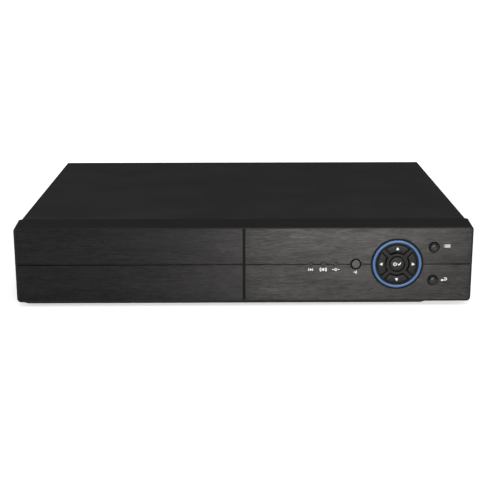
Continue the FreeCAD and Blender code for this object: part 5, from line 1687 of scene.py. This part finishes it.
@dataclass
class MainBoard(Assembly):
    """The main circuit board with everything soldered to it.

    Attributes:
        lead_pitch: From one lead of a chip to the next.
        lead_reach: How far the leads stand out from a chip.
        lead_rise: The most that the leads leave a chip above the board.
        lead_thick: The thickness of a lead.
        leadless: Chips wider than this have no leads.
        small_parts: How many small parts are scattered over the board.
        seed: Starts the scatter.
        grid: The spacing of the places where the small parts stand.
        clip_half: Half the width of the spring clip over the clock's cell.
        clip_gap: The clip's clearance from the cell.
        bulge: How high the clip arches.
    """

    lead_pitch: float = 0.8 * MM
    lead_reach: float = 0.9 * MM
    lead_rise: float = 0.7 * MM
    lead_thick: float = 0.14 * MM
    leadless: float = 18 * MM
    small_parts: int = 220
    seed: int = 11
    grid: float = 1.27 * MM
    clip_half: float = 2.2 * MM
    clip_gap: float = 0.7 * MM
    bulge: float = 0.3 * MM

    def make(self) -> None:
        """Dresses and builds everything in the assembly."""
        self.dress(Stuff.BOARD, "main_board")
        self.dress(Stuff.PACKAGE, "board_chips")
        self.dress(Stuff.SINK, "heat_sink")
        self.dress(Stuff.COIL, "inductors")
        self.dress(Stuff.CELL, "coin_cell")
        self.dress(Stuff.BRASS, "board_standoffs")
        self.dress(Stuff.BRIGHT_SCREW, "board_screws")
        self.dress(Stuff.HEADER, "board_headers")
        self.add_leads()
        self.add_capacitors()
        self.add_clip()
        self.add_small_parts()

    def add_leads(self) -> None:
        """Adds bent leads to the chips' sides."""
        work = bmesh.new()
        for chip in solids_of("board_chips"):
            if chip.size.x > self.leadless:
                continue
            for axis in range(2):
                across = 1 - axis
                count = int((chip.size[across] - 1.5 * MM) / self.lead_pitch)
                for side in (-1, 1):
                    for number in range(count):
                        self.add_lead(work, chip, axis, side, (number - (count - 1) / 2) * self.lead_pitch)
        self.add("chip_leads", work, Stuff.BRIGHT_SCREW)

    def add_lead(self, work: bmesh.types.BMesh, chip: Block, axis: int, side: int, offset: float) -> None:
        """Adds one lead, in three straight runs from a chip's side down to the board.

        Args:
            work: The mesh to add to.
            chip: The chip's box.
            axis: 0 for a lead along X, 1 for one along Y.
            side: -1 or 1, the side of the chip that it leaves.
            offset: How far it is from the middle of that side.
        """
        level, foot = min(chip.size.z * 0.5, self.lead_rise), 0.1 * MM
        spots = []
        for out, rise in ((-0.2 * MM, level), (self.lead_reach * 0.3, level), (self.lead_reach * 0.5, foot),
                          (self.lead_reach, foot)):
            spot = Vector((chip.middle.x, chip.middle.y, chip.low.z + rise))
            spot[axis] += side * (chip.size[axis] / 2 + out)
            spot[1 - axis] += offset
            spots.append(spot)
        for start, end in zip(spots, spots[1:]):
            add_strip(work, start, end, self.lead_pitch * 0.45, self.lead_thick)

    def add_capacitors(self) -> None:
        """Replaces the capacitors with sleeved cans that have a crimped neck and a top whose scores are
        painted shade.
        """
        cans, scores = bmesh.new(), bmesh.new()
        for can in solids_of("capacitors"):
            wide, high = can.size.x / 2, can.size.z
            base = Matrix.Translation((can.middle.x, can.middle.y, can.low.z))
            neck, top = wide * 0.93, high - 0.2 * MM
            profile = [(0, 0), (wide - 0.3 * MM, 0), (wide, 0.4 * MM), (wide, 1.0 * MM), (neck, 1.3 * MM),
                       (neck, 1.6 * MM), (wide, 2.0 * MM), (wide, high - 0.6 * MM), (wide - 0.2 * MM, top),
                       (wide - 0.5 * MM, high - 0.05 * MM), (wide - 0.7 * MM, top), (0, top)]
            add_turned(cans, profile, base, steps=40)
            # Painted shade: each score on the top is a dark strip.
            for turn in (0, 60, 120):
                way = Vector((*polar(1.0, math.radians(turn)), 0)) * wide * 0.6
                top = Vector((can.middle.x, can.middle.y, can.high.z - 0.2 * MM))
                add_strip(scores, top - way, top + way, 0.18 * MM, 0.06 * MM)
        self.add("sleeved_cans", cans, Stuff.SLEEVE, replaces=["capacitors"])
        self.add("can_score_shades", scores, Stuff.PACKAGE)

    def add_clip(self) -> None:
        """Adds the spring clip over the clock's cell."""
        cell = block_of("coin_cell")
        level, end = cell.high.z + 0.15 * MM, cell.low.z - 0.4 * MM
        arch = level + self.bulge
        reach = cell.size.x / 2 + self.clip_gap
        path = ((-1, end), (-1, level), (-0.5, arch), (0, level), (0.5, arch), (1, level), (1, end))
        work = bmesh.new()
        rows = [[work.verts.new(Vector((cell.middle.x + share * reach, cell.middle.y, height))
                                + Vector((0, side * self.clip_half, 0))) for side in (-1, 1)]
                for share, height in path]
        for (a, b), (c, d) in zip(rows, rows[1:]):
            work.faces.new((a, b, d, c))
        bmesh.ops.solidify(work, geom=work.faces[:], thickness=0.25 * MM)
        self.add("cell_clip", work, Stuff.SOCKET_STEEL)

    def add_small_parts(self) -> None:
        """Scatters resistors and chip capacitors over the free parts of the board."""
        board = block_of("main_board")
        taken = [solid for node in ON_MAIN_BOARD for solid in solids_of(node)]
        chance = random.Random(self.seed)
        bodies, ends = bmesh.new(), bmesh.new()
        for _ in range(self.small_parts):
            long, wide, high = chance.choice(((1.6, 0.8, 0.45), (2.0, 1.25, 0.6), (3.2, 1.6, 0.65)))
            x = round(chance.uniform(board.low.x, board.high.x) / self.grid) * self.grid
            y = round(chance.uniform(board.low.y, board.high.y) / self.grid) * self.grid
            spot = Vector((x, y, board.high.z))
            size = Vector((long, wide, high)) * MM
            if chance.random() < 0.5:
                size = Vector((size.y, size.x, size.z))
            if self.is_free(spot, taken, board):
                low = spot - Vector((size.x / 2, size.y / 2, 0))
                part = Block(low, low + size)
                taken.append(part)
                self.add_small_part(bodies, ends, part)
        self.add("small_part_bodies", bodies, Stuff.PACKAGE)
        self.add("small_part_ends", ends, Stuff.BRIGHT_SCREW)

    @staticmethod
    def is_free(spot: Vector, taken: Sequence[Block], board: Block, margin: float = 2.6 * MM) -> bool:
        """Whether a small part fits at a spot, clear of the board's edges and of what is there.

        Args:
            spot: The spot.
            taken: The boxes of what is there.
            board: The board's box.
            margin: How far the spot has to be from them.

        Returns:
            Whether it fits.
        """
        for letter in ("x", "y"):
            value = getattr(spot, letter)
            if not getattr(board.low, letter) + margin < value < getattr(board.high, letter) - margin:
                return False
        return not any(block.low.x - margin < spot.x < block.high.x + margin
                       and block.low.y - margin < spot.y < block.high.y + margin for block in taken)

    @staticmethod
    def add_small_part(bodies: bmesh.types.BMesh, ends: bmesh.types.BMesh, part: Block) -> None:
        """Adds one small part: a body, and a metal cap over each end.

        Args:
            bodies: The mesh that the body is added to.
            ends: The mesh that the caps are added to.
            part: The part's box.
        """
        axis = 0 if part.size.x > part.size.y else 1
        cap = part.size[axis] * 0.22
        low, high = part.low.copy(), part.high.copy()
        low[axis] += cap * 0.5
        high[axis] -= cap * 0.5
        add_box(bodies, Block(low, high - Vector((0, 0, 0.03 * MM))))
        for near, far in ((part.low[axis], part.low[axis] + cap), (part.high[axis] - cap, part.high[axis])):
            start, end = part.low.copy(), part.high.copy()
            start[axis], end[axis] = near, far
            add_box(ends, Block(start, end), 0.06 * MM, 1)


@dataclass
class Drive(Assembly):
    """The sealed hard drive.

    Attributes:
        label_size: The width and height of its blank label.
        label_corner: The radius of the label's corners.
        screw: The radius of the lid's screws.
        sink: How deep the screws sit in the lid.
        inset: From the lid's edge to its screws.
    """

    label_size: Point = (58 * MM, 44 * MM)
    label_corner: float = 2.5 * MM
    screw: float = 2.3 * MM
    sink: float = 0.8 * MM
    inset: float = 4.5 * MM

    def make(self) -> None:
        """Dresses and builds everything in the assembly."""
        self.dress(Stuff.CASTING, "hdd_casting")
        self.dress(Stuff.DRIVE_STEEL, "hdd_lid")
        self.dress(Stuff.BRIGHT_SCREW, "hdd_screws")
        lid = block_of("hdd_lid")
        place = Matrix.Translation((lid.low.x + lid.size.y / 2, lid.middle.y, lid.high.z))
        outline = rounded_rectangle(*self.label_size, self.label_corner)
        self.add("drive_label", cut_out("drive_label", [outline], 0.1 * MM, place), Stuff.PAPER)
        radius, top, slot = self.screw, 0.6 * MM, 0.1 * MM
        profile = [(0, 0), (radius, 0), (radius, 0.35 * MM), (radius * 0.85, top), (radius * 0.42, top),
                   (radius * 0.38, slot), (0, slot)]
        work = bmesh.new()
        for x in (lid.low.x + self.inset, lid.middle.x, lid.high.x - self.inset):
            for y in (lid.low.y + self.inset, lid.high.y - self.inset):
                add_turned(work, profile, Matrix.Translation((x, y, lid.high.z - self.sink)), steps=24)
        self.add("lid_screws", work, Stuff.BRIGHT_SCREW)


@dataclass
class Wiring(Assembly):
    """The internal leads, the ribbon cable and their plugs."""

    def make(self) -> None:
        """Dresses and builds everything in the assembly."""
        self.dress(Stuff.RED_LEAD, "wire_leads")
        self.dress(Stuff.RIBBON, "ribbon_cable")
        self.dress(Stuff.HEADER, "cable_plugs")


def main() -> None:
    """Builds the studio and every assembly, in order."""
    logging.basicConfig(level=logging.INFO, format="%(message)s")
    Studio().set_up()
    for kind in (Case, Front, DirectionPad, SideKeys, FrontBoard, MainBoard, Drive, Wiring, Sockets, Fan):
        kind().make()
        LOG.info("made %s", kind.__name__)


if __name__ == "__main__":
    main()
